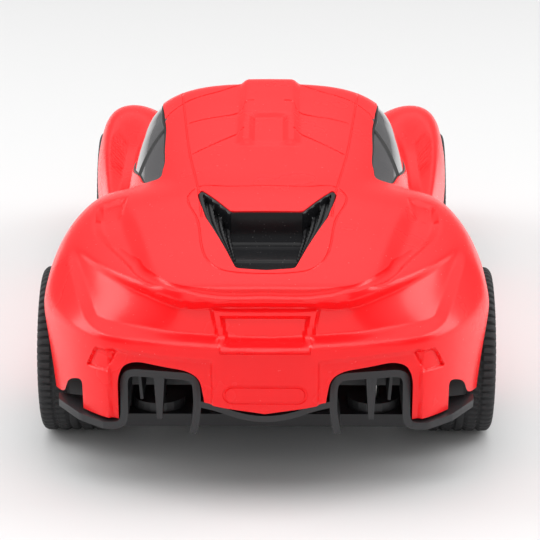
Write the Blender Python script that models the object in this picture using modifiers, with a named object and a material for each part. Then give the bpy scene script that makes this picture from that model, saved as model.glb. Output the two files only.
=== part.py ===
"""Pull back car: a moulded toy sports car whose rear axle is driven by a small spring motor.

Lengths below are millimetres, and the helpers scale them by MM, so the scene is in metres with +Z up.
The nose points to -Y, the car's left side is +X, and the origin is on the ground under the car's middle.
"""

import math

import bmesh
import bpy
import numpy as np
from mathutils import Matrix, Vector

MM = 0.001

# Overall size and wheels.
REAR_AXLE_Y = 43.5
FRONT_AXLE_Y = -41.5
REAR_TYRE_RADIUS = 11.6
FRONT_TYRE_RADIUS = 10.8
REAR_TYRE_SIDES = (22.2, 31.6)
FRONT_TYRE_SIDES = (21.5, 30.0)
RIM_RADIUS = 8.0
RIM_OPENINGS = 5
AXLE_RADIUS = 1.0
RUNNING_GAP = 0.1
GAP = 0.3

# Moulded shell.
WALL = 1.2
SILL_Z = 6.5
REAR_ARCH_RADIUS = 13.1
FRONT_ARCH_RADIUS = 12.2
CORE_LOW = np.array([-17.0, -52.0, SILL_Z])
CORE_HIGH = np.array([17.0, 56.0, 15.0])
REACH = np.array([45.0, 95.0, 60.0])

# Floor pan.
FLOOR_LOW = 5.0
FLOOR_TOP = 6.8
POST_PLACES = {
    "front_left": (13.5, -57.5),
    "front_right": (-13.5, -57.5),
    "rear_left": (14.8, 53.0),
    "rear_right": (-14.8, 53.0),
}
PILOT_TOP = 17.0

# Spring motor: a tooth's pitch is pi times the module.
MODULE = 0.5
AXLE_PINION_TEETH = 10
TRANSFER_GEAR_TEETH = 24
TRANSFER_PINION_TEETH = 10
SPRING_GEAR_TEETH = 26
CLUTCH_GEAR_TEETH = 8
PIN_RADIUS = 0.9
CLUTCH_PIN_RADIUS = 0.7
MOTOR_HALF_WIDTH = 9.0
MOTOR_WALL = 1.2
MOTOR_Y = (21.4, 48.7)
MOTOR_Z = (5.3, 27.7)
AXLE_AT = (REAR_AXLE_Y, REAR_TYRE_RADIUS)
TRANSFER_ANGLE = math.radians(123.6)
SPRING_ANGLE = math.radians(199.0)
CLUTCH_TRAVEL = 0.8
CLUTCH_AT = (37.85, 9.38)
CLUTCH_WAY = (0.30, 0.954)


def pitch_radius(teeth):
    """Radius of a gear's pitch circle."""
    return MODULE * teeth / 2


def stepped(point, angle, distance):
    """The (y, z) place that lies this far from a point, at an angle from +Y towards +Z."""
    return (point[0] + distance * math.cos(angle), point[1] + distance * math.sin(angle))


TRANSFER_AT = stepped(AXLE_AT, TRANSFER_ANGLE, pitch_radius(AXLE_PINION_TEETH + TRANSFER_GEAR_TEETH))
SPRING_AT = stepped(TRANSFER_AT, SPRING_ANGLE, pitch_radius(TRANSFER_PINION_TEETH + SPRING_GEAR_TEETH))


# ---------------------------------------------------------------- scene


def start_scene():
    """Empty the scene and return one collection for the parts and a hidden one for the cutters."""
    for old in list(bpy.data.objects):
        bpy.data.objects.remove(old, do_unlink=True)
    parts = bpy.data.collections.new("pull_back_car")
    cutters = bpy.data.collections.new("cutters")
    for collection in (parts, cutters):
        bpy.context.scene.collection.children.link(collection)
    cutters.hide_render = True
    return parts, cutters


PARTS, CUTTERS = start_scene()


def make_material(name, colour, roughness, metallic=0.0):
    """Return a plain Principled material."""
    material = bpy.data.materials.new(name)
    material.use_nodes = True
    shader = material.node_tree.nodes["Principled BSDF"]
    shader.inputs["Base Color"].default_value = (*colour, 1.0)
    shader.inputs["Roughness"].default_value = roughness
    shader.inputs["Metallic"].default_value = metallic
    return material


MATERIALS = {
    "body_red": make_material("body_red", (0.90, 0.012, 0.014), 0.28),
    "dark_glass": make_material("dark_glass", (0.02, 0.02, 0.022), 0.06),
    "gloss_black": make_material("gloss_black", (0.012, 0.012, 0.013), 0.12),
    "matt_black": make_material("matt_black", (0.022, 0.022, 0.024), 0.5),
    "tyre_black": make_material("tyre_black", (0.016, 0.016, 0.017), 0.75),
    "rim_silver": make_material("rim_silver", (0.55, 0.56, 0.58), 0.3, 0.8),
    "steel": make_material("steel", (0.6, 0.6, 0.6), 0.28, 1.0),
    "motor_grey": make_material("motor_grey", (0.25, 0.26, 0.28), 0.45),
    "gear_white": make_material("gear_white", (0.8, 0.8, 0.76), 0.4),
    "spring_steel": make_material("spring_steel", (0.32, 0.34, 0.4), 0.3, 1.0),
    "clear_lens": make_material("clear_lens", (0.85, 0.87, 0.9), 0.05),
}


def adopt(obj, material):
    """Make an object a part: put it in the parts collection with its material."""
    for collection in list(obj.users_collection):
        collection.objects.unlink(obj)
    PARTS.objects.link(obj)
    obj.data.materials.clear()
    obj.data.materials.append(MATERIALS[material])
    return obj


def new_object(name, mesh):
    """Return an object that starts as a cutter, hidden from renders by its collection."""
    obj = bpy.data.objects.new(name, mesh)
    CUTTERS.objects.link(obj)
    obj.hide_render = True
    obj.display_type = "WIRE"
    return obj


def show(obj, material):
    """Turn a helper object into a visible part."""
    obj.hide_render = False
    obj.display_type = "TEXTURED"
    return adopt(obj, material)


def from_bmesh(name, shape):
    """Return an object made of a bmesh, which is freed."""
    mesh = bpy.data.meshes.new(name)
    bmesh.ops.recalc_face_normals(shape, faces=shape.faces[:])
    shape.to_mesh(mesh)
    shape.free()
    return new_object(name, mesh)


def box(name, low, high):
    """Return a block between two corners."""
    shape = bmesh.new()
    bmesh.ops.create_cube(shape, size=1.0)
    size = (Vector(high) - Vector(low)) * MM
    middle = (Vector(high) + Vector(low)) * MM / 2
    bmesh.ops.transform(shape, matrix=Matrix.LocRotScale(middle, None, size), verts=shape.verts)
    return from_bmesh(name, shape)


TURNS = {
    "X": Matrix(((0, 0, 1), (1, 0, 0), (0, 1, 0))),
    "Y": Matrix(((1, 0, 0), (0, 0, -1), (0, 1, 0))),
    "Z": Matrix.Identity(3),
}


def rod(name, axis, start, length, radius, segments=20):
    """Return a round bar that begins at a point and runs along +X or +Z."""
    shape = bmesh.new()
    size = {"radius1": radius * MM, "radius2": radius * MM, "depth": length * MM}
    bmesh.ops.create_cone(shape, cap_ends=True, segments=segments, **size)
    bmesh.ops.translate(shape, verts=shape.verts, vec=(0, 0, length * MM / 2))
    matrix = Matrix.Translation(Vector(start) * MM) @ TURNS[axis].to_4x4()
    bmesh.ops.transform(shape, matrix=matrix, verts=shape.verts)
    return from_bmesh(name, shape)


def to_mesh_object(source):
    """Replace a curve object by a welded mesh object."""
    graph = bpy.context.evaluated_depsgraph_get()
    mesh = bpy.data.meshes.new_from_object(source.evaluated_get(graph))
    shape = bmesh.new()
    shape.from_mesh(mesh)
    bmesh.ops.remove_doubles(shape, verts=shape.verts, dist=1e-6)
    bmesh.ops.transform(shape, matrix=source.matrix_world, verts=shape.verts)
    name = source.name
    bpy.data.objects.remove(source, do_unlink=True)
    return from_bmesh(name, shape)


def prism(name, axis, outline, low, high):
    """Return a flat outline given thickness: outline is (y, z) for X, (x, z) for Y and (x, y) for Z."""
    curve = bpy.data.curves.new(name, "CURVE")
    curve.dimensions = "2D"
    curve.fill_mode = "BOTH"
    curve.extrude = abs(high - low) * MM / 2
    spline = curve.splines.new("POLY")
    spline.points.add(len(outline) - 1)
    for point, (u, v) in zip(spline.points, outline):
        point.co = (u * MM, v * MM, 0.0, 1.0)
    spline.use_cyclic_u = True
    source = bpy.data.objects.new(name, curve)
    CUTTERS.objects.link(source)
    middle = Vector(TURNS[axis].col[2]) * (low + high) * MM / 2
    if axis == "Y":
        middle = -middle
    source.matrix_world = Matrix.Translation(middle) @ TURNS[axis].to_4x4()
    bpy.context.view_layer.update()
    return to_mesh_object(source)


def turned(name, profile, centre, steps):
    """Return a solid turned about the X axis: profile is (x, radius) from one end of its outer side round."""
    mesh = bpy.data.meshes.new(name)
    count = len(profile)
    points = [(radius * MM, 0.0, x * MM) for x, radius in profile]
    mesh.from_pydata(points, [(i, (i + 1) % count) for i in range(count)], [])
    obj = new_object(name, mesh)
    obj.location = Vector(centre) * MM
    obj.rotation_euler = (0.0, math.radians(90), 0.0)
    screw = obj.modifiers.new("turn", "SCREW")
    screw.axis = "Z"
    screw.steps = steps
    screw.render_steps = steps
    screw.use_merge_vertices = True
    screw.merge_threshold = 1e-6
    return obj


def boolean(target, tool, operation="DIFFERENCE"):
    """Add a Boolean modifier. The curved body blocks need the manifold solver: the exact one empties them."""
    modifier = target.modifiers.new(operation.lower(), "BOOLEAN")
    modifier.operation = operation
    modifier.object = tool
    modifier.solver = "MANIFOLD"
    return target


def cut(target, *tools):
    """Cut each tool from the target."""
    for tool in tools:
        boolean(target, tool)
    return target


def fuse(target, *tools):
    """Join each tool to the target."""
    for tool in tools:
        boolean(target, tool, "UNION")
    return target


def mirrored(points):
    """Return an outline that starts and ends on the middle plane, with its other half added."""
    return points + [(-u, v) for u, v in reversed(points) if u != 0.0]


# ---------------------------------------------------------------- body surface


def smooth_max(a, b, blend):
    """Larger of two fields, rounded where they meet."""
    return 0.5 * (a + b + np.sqrt((a - b) ** 2 + blend**2))


def smooth_min(a, b, blend):
    """Smaller of two fields, rounded where they meet."""
    return -smooth_max(-a, -b, blend)


def ease(value, low, high):
    """Rise smoothly from 0 at low to 1 at high."""
    t = np.clip((value - low) / (high - low), 0.0, 1.0)
    return t * t * (3 - 2 * t)


def through(knots):
    """Return a smooth function of one variable that passes through (position, value) knots."""
    places, values = np.array(knots, float).T
    slopes = np.gradient(values, places)

    def value_at(where):
        where = np.clip(where, places[0], places[-1])
        i = np.clip(np.searchsorted(places, where) - 1, 0, len(places) - 2)
        span = places[i + 1] - places[i]
        t = (where - places[i]) / span
        start = values[i] * (1 + 2 * t) * (1 - t) ** 2 + slopes[i] * span * t * (1 - t) ** 2
        end = values[i + 1] * t * t * (3 - 2 * t) + slopes[i + 1] * span * t * t * (t - 1)
        return start + end

    return value_at


# Heights and half-widths along the car, each as (y, value).
HOOD_HEIGHT = through([(-73, 12), (-68, 15.6), (-60, 18.4), (-50, 21.0), (-42, 22.8), (-30, 24.5), (-10, 26)])
ROOF_HEIGHT = through([(-44, 17.5), (-35, 24.2), (-24, 31.6), (-14, 36.7), (-8, 38.2), (0, 38.0), (10, 37.1),
                       (20, 36.0), (30, 34.9), (40, 33.4), (50, 31.2), (60, 28.4), (73, 24)])
ROOF_HALF_WIDTH = through([(-44, 18.5), (-20, 20.8), (-8, 21.3), (5, 21.6), (20, 20.6), (32, 18.6), (45, 16.5),
                           (73, 13)])
DECK_CREST = through([(-30, 20), (-12, 22.2), (0, 23.6), (10, 26.2), (20, 28.7), (30, 30.1), (40, 30.2),
                      (50, 29.0), (60, 26.8), (66, 24.6), (73, 21.5)])
DECK_RISE = through([(-30, 0), (10, 0), (20, 0.3), (30, 2.2), (40, 3.4), (50, 3.7), (60, 4.6), (66, 5.6),
                     (73, 7.6)])
FENDER_CREST = through([(-73, 12), (-66, 17.4), (-55, 23.6), (-42, 26.6), (-30, 25.0), (-20, 23.2), (0, 20.0)])
SIDE_HALF_WIDTH = through([(-73, 28.5), (-55, 30.2), (-42, 30.5), (-30, 30.0), (-18, 28.2), (-6, 26.8), (8, 26.3),
                           (20, 27.0), (30, 29.4), (40, 31.1), (50, 31.5), (60, 31.0), (73, 29.5)])
RIDGE_PLAN = through([(0, 73), (8, 72.8), (15, 71.6), (22, 68.5), (26, 63.5), (30, 55), (34, 42)])
TAIL_PLAN = through([(0, 71.2), (8, 70.9), (11.5, 70.2), (15.5, 67.6), (19, 64.5), (22.6, 60), (26, 54), (30, 46),
                     (34, 34)])
NOSE_PLAN = through([(0, 73), (10, 72.2), (18, 69.8), (24, 65.4), (28, 58), (30, 50), (34, 38)])
DECK_HALF_WIDTH = 27.5
CABIN_BASE_Z = 22.0
ROUNDNESS = 3.3  # Power of the curves across the roof and the deck: 2 is round, more is squarer.
HUB_Z = (17.0, 18.0)
RIDGE_Z = 21.2
TAIL_TOP_Z = 29.0


def top_height(x, y):
    """Height of the upper surface: roof, deck, hood and front fenders, rounded into each other."""
    across = np.abs(x)
    inside = np.clip(across / ROOF_HALF_WIDTH(y), 0.0, 1.0)
    roof = CABIN_BASE_Z + (ROOF_HEIGHT(y) - CABIN_BASE_Z) * (1 - inside**ROUNDNESS) ** (1 / ROUNDNESS)
    roof = roof - 3.0 * np.clip(across - ROOF_HALF_WIDTH(y), 0.0, None)
    fall = np.clip(across / DECK_HALF_WIDTH, 0.0, 1.3)
    deck = DECK_CREST(y) + DECK_RISE(y) * (1 - fall**ROUNDNESS)
    hood = HOOD_HEIGHT(y) - 0.006 * across**2
    fender = FENDER_CREST(y) - 0.055 * (across - 25.5) ** 2
    height = smooth_max(roof, deck, 1.6)
    height = smooth_max(height, hood, 1.2)
    return smooth_max(height, fender, 1.4)


def side_reach(y, z):
    """Half-width of the flanks, fullest at hub height."""
    above = np.clip(z - HUB_Z[1], 0.0, None)
    below = np.clip(HUB_Z[0] - z, 0.0, None)
    return SIDE_HALF_WIDTH(y) - 0.017 * above**2 - 0.011 * below**2


def tail_reach(x, z):
    """How far back the tail goes: furthest at the bumper ridge, less at the deck's edge."""
    across = np.abs(x)
    rising = ease(z, RIDGE_Z, TAIL_TOP_Z)
    reach = RIDGE_PLAN(across) * (1 - rising) + TAIL_PLAN(across) * rising
    return reach - 0.012 * np.clip(RIDGE_Z - z, 0.0, None) ** 2


def nose_reach(x, z):
    """How far forward the nose goes."""
    return NOSE_PLAN(np.abs(x)) - 0.03 * (z - 11.0) ** 2


def body_depth(points):
    """Field that is positive inside the closed body and negative outside."""
    x, y, z = points[..., 0], points[..., 1], points[..., 2]
    depth = smooth_min(top_height(x, y) - z, side_reach(y, z) - np.abs(x), 3.2)
    depth = smooth_min(depth, tail_reach(x, z) - y, 1.4)
    return smooth_min(depth, nose_reach(x, z) + y, 2.0)


def surface_points(inner, outer):
    """Bisect each ray from a point inside the body to one outside it."""
    low = np.zeros(inner.shape[:-1] + (1,))
    high = np.ones_like(low)
    for _ in range(40):
        middle = (low + high) / 2
        inside = body_depth(inner + middle * (outer - inner))[..., None] > 0
        low = np.where(inside, middle, low)
        high = np.where(inside, high, middle)
    return inner + low * (outer - inner)


def surface_normals(points):
    """Outward directions of the body surface."""
    step = 0.02
    slope = np.stack(
        [body_depth(points - step * unit) - body_depth(points + step * unit) for unit in np.eye(3)], axis=-1
    )
    return slope / np.linalg.norm(slope, axis=-1, keepdims=True)


def body_solid(name, inset=0.0):
    """Return the body as one closed block with a flat underside, its surface moved inwards by the inset.

    A cube's faces are cut into a grid, and each point follows a ray from an inner core to the surface.
    """
    shape = bmesh.new()
    bmesh.ops.create_cube(shape, size=2.0)
    for axis, count in enumerate(GRID):
        edges = [e for e in shape.edges if abs((e.verts[0].co - e.verts[1].co)[axis]) > 1.9]
        bmesh.ops.subdivide_edges(shape, edges=edges, cuts=count - 1, use_grid_fill=True)
    unit = np.array([vert.co for vert in shape.verts])
    core = CORE_LOW + (CORE_HIGH - CORE_LOW) * (unit + 1) / 2
    ray = unit * REACH
    ray[:, 2] = (unit[:, 2] + 1) / 2 * REACH[2]
    points = surface_points(core, core + ray)
    normals = surface_normals(points)
    low = unit[:, 2] < -0.999
    normals[low, 2] = 0.0
    points = points - inset * normals
    underside = low & (np.abs(unit[:, :2]).max(axis=1) < 0.999)
    points[underside] = core[underside]
    if inset:
        points[low, 2] -= WALL
    for vert, place in zip(shape.verts, points):
        vert.co = Vector(place) * MM
    mesh = bpy.data.meshes.new(name)
    shape.to_mesh(mesh)
    shape.free()
    return new_object(name, mesh)


def height_at(x, y):
    """Height of the finished surface above one place."""
    return float(surface_points(np.array([x, y, SILL_Z]), np.array([x, y, REACH[2]]))[2])


# ---------------------------------------------------------------- red shell, windows, vent and lenses

SIDE_WINDOW = [(-26.0, 28.6), (-17.0, 32.6), (-9.0, 34.7), (0.0, 35.2), (8.0, 35.0), (18.0, 34.1), (26.0, 33.2),
               (29.2, 32.5), (28.0, 31.8), (18.0, 30.1), (8.0, 28.2), (-8.0, 26.4), (-20.0, 26.4)]
WINDSCREEN = [(0.0, -34.0), (10.0, -32.6), (16.6, -28.0), (14.6, -19.0), (12.6, -13.6), (6.0, -12.0),
              (0.0, -11.6)]
VENT = [(0.0, 48.3), (4.9, 48.3), (9.2, 40.2), (9.8, 41.8), (8.4, 50.0), (3.9, 65.6), (0.0, 66.2)]
LENS = [(18.5, -70.2), (22.0, -68.6), (26.4, -60.0), (25.2, -55.0), (23.4, -58.0), (20.0, -65.4)]
TAIL_ARCH = [(7.9, 0.0), (7.9, 13.8), (8.5, 17.2), (10.2, 18.3), (16.8, 19.1), (18.6, 18.4), (19.4, 16.4),
             (19.4, 0.0)]
TAIL_NOTCH = [(24.4, 0.0), (24.4, 15.0), (26.6, 13.6), (27.4, 10.6), (40.0, 10.6), (40.0, 0.0)]
TAIL_MIDDLE = [(0.0, 12.4), (5.0, 13.2), (8.4, 13.9), (8.4, 0.0), (0.0, 0.0)]
TOOTH_Z = 10.3
TAIL_CUT_Y = 53.0
LENS_DEPTH = 1.0
VENT_FLOOR = 28.1
ARCH_INNER_X = 18.0
BOSS_LOW_Z = 8.4
BOSS_RADIUS = 2.6
GRID = (12, 32, 6)


def flipped(outline):
    """The same outline on the car's other side."""
    return [(-u, v) for u, v in reversed(outline)]


def shrunk(outline, gap):
    """An outline pulled in towards its middle by about a gap."""
    middle = Vector(np.mean(outline, axis=0))
    moved = [Vector(point) - (Vector(point) - middle).normalized() * gap for point in outline]
    return [tuple(point) for point in moved]


def side_windows():
    """Tools for the two side openings."""
    left = prism("side_window_cut_left", "X", SIDE_WINDOW, 10.0, 32.0)
    right = prism("side_window_cut_right", "X", SIDE_WINDOW, -32.0, -10.0)
    return left, right


def post(name, place):
    """A boss under the deck or hood that a chassis screw bites into, with its pilot hole."""
    x, y = place
    length = height_at(x, y) - WALL / 2 + 0.1 - BOSS_LOW_Z
    boss = rod(name + "_boss", "Z", (x, y, BOSS_LOW_Z), length, BOSS_RADIUS, 16)
    pilot = rod(name + "_pilot", "Z", (x, y, BOSS_LOW_Z - 1.0), PILOT_TOP - BOSS_LOW_Z + 1.0, 1.05, 12)
    return boss, pilot


def make_shell():
    """Red body: hollow, open below, with arches, windows, vent and lamp openings and a shaped bumper edge."""
    shell = body_solid("body_shell")
    cut(shell, body_solid("shell_hollow", WALL))
    posts = [post("post_" + name, place) for name, place in POST_PLACES.items()]
    fuse(shell, *[boss for boss, _ in posts])
    cut(shell, *[pilot for _, pilot in posts])
    for name, y, z, radius in (
        ("rear_arch_cut", REAR_AXLE_Y, REAR_TYRE_RADIUS, REAR_ARCH_RADIUS),
        ("front_arch_cut", FRONT_AXLE_Y, FRONT_TYRE_RADIUS, FRONT_ARCH_RADIUS),
    ):
        cut(shell, rod(name + "_left", "X", (ARCH_INNER_X, y, z), 25.0, radius, 36))
        cut(shell, rod(name + "_right", "X", (-ARCH_INNER_X - 25.0, y, z), 25.0, radius, 36))
    cut(shell, *side_windows())
    cut(shell, prism("windscreen_cut", "Z", mirrored(WINDSCREEN), 20.0, 45.0))
    cut(shell, prism("vent_cut", "Z", mirrored(VENT), 20.0, 45.0))
    for name, outline in (("left", LENS), ("right", flipped(LENS))):
        cut(shell, prism("lamp_cut_" + name, "Z", outline, 14.0, 30.0))
        arch = TAIL_ARCH if name == "left" else flipped(TAIL_ARCH)
        notch = TAIL_NOTCH if name == "left" else flipped(TAIL_NOTCH)
        cut(shell, prism("tail_arch_cut_" + name, "Y", arch, TAIL_CUT_Y, 80.0))
        cut(shell, prism("tail_notch_cut_" + name, "Y", notch, TAIL_CUT_Y, 80.0))
    cut(shell, prism("tail_middle_cut", "Y", mirrored(TAIL_MIDDLE), TAIL_CUT_Y, 80.0))
    cut(shell, box("tooth_cut", (-40.0, TAIL_CUT_Y, 0.0), (40.0, 80.0, TOOTH_Z)))
    return show(shell, "body_red")


def make_window_insert():
    """One dark canopy moulding just under the roof skin, seen through every window opening."""
    insert = body_solid("window_insert", WALL + 3 * GAP)
    cut(insert, body_solid("window_hollow", 2 * WALL + 3 * GAP))
    boolean(insert, box("window_limits", (-30.0, -38.0, 25.0), (30.0, 30.2, 45.0)), "INTERSECT")
    return show(insert, "dark_glass")


def make_vent_insert():
    """Glossy tray in the rear deck: a sloping V-shaped tub with three steps down each side."""
    tray = prism("engine_vent_insert", "Z", mirrored(shrunk(VENT[1:-1], GAP)), VENT_FLOOR, 45.0)
    lid = body_solid("vent_lid", 0.7)
    boolean(tray, lid, "INTERSECT")
    floor = [(0.0, 46.0), (4.2, 46.0), (3.6, 63.4), (0.0, 63.4)]
    cut(tray, prism("vent_pocket", "Z", mirrored(floor), VENT_FLOOR + 1.0, 45.0))
    for step in range(3):
        y = 51.0 + 4.6 * step
        for side in (-1, 1):
            slot = box(
                f"vent_slot_{step}_{'left' if side > 0 else 'right'}",
                (side * 5.5 - 2.0, y - 1.2, VENT_FLOOR + 1.6 - 0.2 * step),
                (side * 5.5 + 2.0, y + 1.2, 45.0),
            )
            cut(tray, slot)
    return show(tray, "gloss_black")


def make_lens(name, outline):
    """Clear lamp cover that fills its opening."""
    lens = body_solid(name, 0.2)
    boolean(lens, prism(name + "_limits", "Z", shrunk(outline, GAP), 14.3, 30.0), "INTERSECT")
    cut(lens, body_solid(name + "_hollow", LENS_DEPTH))
    return show(lens, "clear_lens")


# ---------------------------------------------------------------- wheels and axles


def groove_profile(low, high, radius, grooves, depth):
    """Outer side of a tyre from low to high: a round-shouldered tread with square grooves."""
    shoulder, width = 0.9, 0.5
    points = [(low, radius - 1.6), (low + 0.35, radius - 0.4), (low + shoulder, radius)]
    span = high - low - 2 * shoulder
    for index in range(grooves):
        middle = low + shoulder + span * (index + 1) / (grooves + 1)
        points += [(middle - width / 2, radius), (middle - width / 2, radius - depth)]
        points += [(middle + width / 2, radius - depth), (middle + width / 2, radius)]
    return points + [(high - shoulder, radius), (high - 0.35, radius - 0.4), (high, radius - 1.6)]


def sided(profile, side):
    """A left-hand profile for either side of the car, wound so that its outer side runs towards -X."""
    if side > 0:
        return profile[::-1]
    return [(-x, radius) for x, radius in profile]


def make_tyre(name, sides, radius, place, side):
    """Rubber tyre on the X axis with grooved tread."""
    tread = groove_profile(sides[0], sides[1], radius, 2, 0.5)
    bore = RIM_RADIUS + GAP
    wall = [(sides[1] - 0.6, bore + 0.8), (sides[1] - 0.9, bore)]
    wall += [(sides[0] + 0.9, bore), (sides[0] + 0.6, bore + 0.8)]
    tyre = turned(name, sided(tread + wall, side), (0.0, *place), 24)
    return show(tyre, "tyre_black")


def make_rim(name, sides, place, side):
    """Dished wheel with five openings between its spokes and a blind bore for the axle."""
    inner, outer = sides
    profile = [
        (inner + 0.8, RIM_RADIUS), (outer - 0.8, RIM_RADIUS), (outer - 0.8, RIM_RADIUS - 0.9),
        (outer - 2.2, RIM_RADIUS - 1.2), (outer - 2.6, 2.6), (outer - 1.8, 2.2), (outer - 1.8, 0.0),
        (outer - 4.6, 0.0), (outer - 4.6, AXLE_RADIUS + GAP), (inner + 0.4, AXLE_RADIUS + GAP),
        (inner + 0.4, 2.4), (outer - 4.2, 2.6), (outer - 4.0, RIM_RADIUS - 1.2), (inner + 0.8, RIM_RADIUS - 0.9),
    ]
    rim = turned(name, sided(profile, side), (0.0, *place), 20)
    for index in range(RIM_OPENINGS):
        angle = 2 * math.pi * (index + 0.25) / RIM_OPENINGS
        y, z = stepped(place, angle, 4.7)
        start = min(side * (outer - 6.0), side * (outer + 1.0))
        cut(rim, rod(f"{name}_opening_{index}", "X", (start, y, z), 7.0, 1.35, 8))
    return show(rim, "rim_silver")


def make_axles():
    """Two steel rods that end inside the wheels' hubs."""
    for name, sides, place in (
        ("front_axle", FRONT_TYRE_SIDES, (FRONT_AXLE_Y, FRONT_TYRE_RADIUS)),
        ("rear_axle", REAR_TYRE_SIDES, AXLE_AT),
    ):
        reach = sides[1] - 4.9
        bar = rod(name, "X", (-reach, 0.0, 0.0), 2 * reach, AXLE_RADIUS, 16)
        bar.location = Vector((0.0, *place)) * MM
        show(bar, "steel")


# ---------------------------------------------------------------- floor pan and front axle keeper

FLOOR = [(0.0, -66.0), (11.0, -66.0), (17.0, -63.5), (18.5, -54.0), (18.5, -30.5), (23.2, -27.5), (23.2, 28.0),
         (20.3, 31.0), (20.3, 57.2), (0.0, 57.2)]
SADDLE_X = (12.0, 15.0)
KEEPER_SCREW_X = 7.5
KEEPER_Z = (13.2, 14.8)
KEEPER_SCREW_Y = FRONT_AXLE_Y - 4.0
MOTOR_SCREW_Y = {"motor_screw_front": 18.4, "motor_screw_rear": 51.7}
EAR_Z = (7.2, 8.8)
SCREW_HOLE_RADIUS = 1.1
SHANK_RADIUS = 0.75
HEAD_HEIGHT = 1.1
RECESS_DEPTH = 0.6
RECESS_ARM = (1.1, 0.25)


def make_chassis():
    """Black floor pan: rails, screw bosses, front axle saddles and a window for the motor."""
    pan = prism("chassis_base", "Z", mirrored(FLOOR), FLOOR_LOW, FLOOR_TOP)
    for name, low, high in (
        ("rail_left", (21.6, -26.0, 6.0), (23.0, 27.0, 9.0)),
        ("rail_right", (-23.0, -26.0, 6.0), (-21.6, 27.0, 9.0)),
        ("rib_front", (-18.0, -32.0, 6.1), (18.0, -30.8, 8.8)),
        ("rib_middle", (-22.5, 9.0, 6.1), (22.5, 10.2, 8.8)),
        ("saddle_left", (SADDLE_X[0], -45.0, 6.0), (SADDLE_X[1], -38.0, 12.6)),
        ("saddle_right", (-SADDLE_X[1], -45.0, 6.0), (-SADDLE_X[0], -38.0, 12.6)),
    ):
        fuse(pan, box(name, low, high))
    for name, (x, y) in POST_PLACES.items():
        fuse(pan, rod("floor_boss_" + name, "Z", (x, y, FLOOR_LOW + 0.4), 2.7, 3.6, 20))
    for side in (-1, 1):
        place = (side * KEEPER_SCREW_X, KEEPER_SCREW_Y, 6.0)
        fuse(pan, rod(f"keeper_boss_{side + 1}", "Z", place, 6.8, 2.2, 16))
    for name, (x, y) in POST_PLACES.items():
        cut(pan, rod("head_room_" + name, "Z", (x, y, 4.0), 2.6, 2.4, 16))
        cut(pan, rod("shank_room_" + name, "Z", (x, y, 5.7), 5.0, SCREW_HOLE_RADIUS, 12))
    for side in (-1, 1):
        place = (side * KEEPER_SCREW_X, KEEPER_SCREW_Y, 8.0)
        cut(pan, rod(f"keeper_pilot_{side + 1}", "Z", place, 6.0, 0.95, 12))
    bore = AXLE_RADIUS + RUNNING_GAP
    z = FRONT_TYRE_RADIUS
    cut(pan, rod("axle_seat", "X", (-20.0, FRONT_AXLE_Y, z), 40.0, bore, 24))
    cut(pan, box("axle_way_in", (-20.0, FRONT_AXLE_Y - bore, z), (20.0, FRONT_AXLE_Y + bore, 16.0)))
    cut(pan, box("motor_window", (-MOTOR_HALF_WIDTH - GAP, MOTOR_Y[0] - GAP, 3.0),
                 (MOTOR_HALF_WIDTH + GAP, MOTOR_Y[1] + GAP, 10.5)))
    for name, y in MOTOR_SCREW_Y.items():
        cut(pan, rod(name + "_hole", "Z", (0.0, y, 4.0), 4.0, SCREW_HOLE_RADIUS, 12))
    return show(pan, "matt_black")


def make_keeper():
    """Plate screwed over the front axle, with two feet that close its saddles."""
    y = FRONT_AXLE_Y
    plate = box("front_axle_keeper", (-15.0, y - 6.6, KEEPER_Z[0]), (15.0, y + 3.5, KEEPER_Z[1]))
    foot_z = FRONT_TYRE_RADIUS + AXLE_RADIUS + RUNNING_GAP
    half = AXLE_RADIUS + RUNNING_GAP - GAP
    for side in (-1, 1):
        x = sorted((side * SADDLE_X[0], side * SADDLE_X[1]))
        foot = box(f"keeper_foot_{side + 1}", (x[0], y - half, foot_z), (x[1], y + half, KEEPER_Z[0] + 0.5))
        fuse(plate, foot)
        place = (side * KEEPER_SCREW_X, KEEPER_SCREW_Y, 12.0)
        cut(plate, rod(f"keeper_hole_{side + 1}", "Z", place, 4.0, SCREW_HOLE_RADIUS, 12))
    return show(plate, "matt_black")


def make_screw(name, place, top_z, length, head_down, head_radius=1.9):
    """Pan-head screw with a crossed recess: its shank runs away from its head."""
    x, y = place
    low_z = top_z - HEAD_HEIGHT
    screw = rod(name, "Z", (x, y, low_z), HEAD_HEIGHT, head_radius, 16)
    if head_down:
        shank_z = top_z - 0.2
        recess = (low_z - 1.0, low_z + RECESS_DEPTH)
    else:
        shank_z = low_z - length
        recess = (top_z - RECESS_DEPTH, top_z + 1.0)
    fuse(screw, rod(name + "_shank", "Z", (x, y, shank_z), length + 0.2, SHANK_RADIUS, 10))
    for turn, half in (("a", RECESS_ARM), ("b", RECESS_ARM[::-1])):
        low = (x - half[0], y - half[1], recess[0])
        cut(screw, box(f"{name}_recess_{turn}", low, (x + half[0], y + half[1], recess[1])))
    return show(screw, "steel")


def make_screws():
    """Four chassis screws from below, two keeper screws and two motor screws from above."""
    for name, place in POST_PLACES.items():
        make_screw("chassis_screw_" + name, place, 6.3, 8.0, True)
    for side, word in ((1, "left"), (-1, "right")):
        make_screw("keeper_screw_" + word, (side * KEEPER_SCREW_X, KEEPER_SCREW_Y), 16.2, 5.6, False, 1.8)
    for name, y in MOTOR_SCREW_Y.items():
        make_screw(name, (0.0, y), 10.2, 3.6, False, 1.8)


# ---------------------------------------------------------------- tail diffuser


def ribbon(path, thickness):
    """Outline of a strip of even thickness that follows a path."""
    points = np.array(path, float)
    along = np.gradient(points, axis=0)
    across = np.stack([-along[:, 1], along[:, 0]], axis=1)
    across /= np.linalg.norm(across, axis=1, keepdims=True)
    left = points + across * thickness / 2
    right = points - across * thickness / 2
    return [tuple(point) for point in np.concatenate([left, right[::-1]])]


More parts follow.
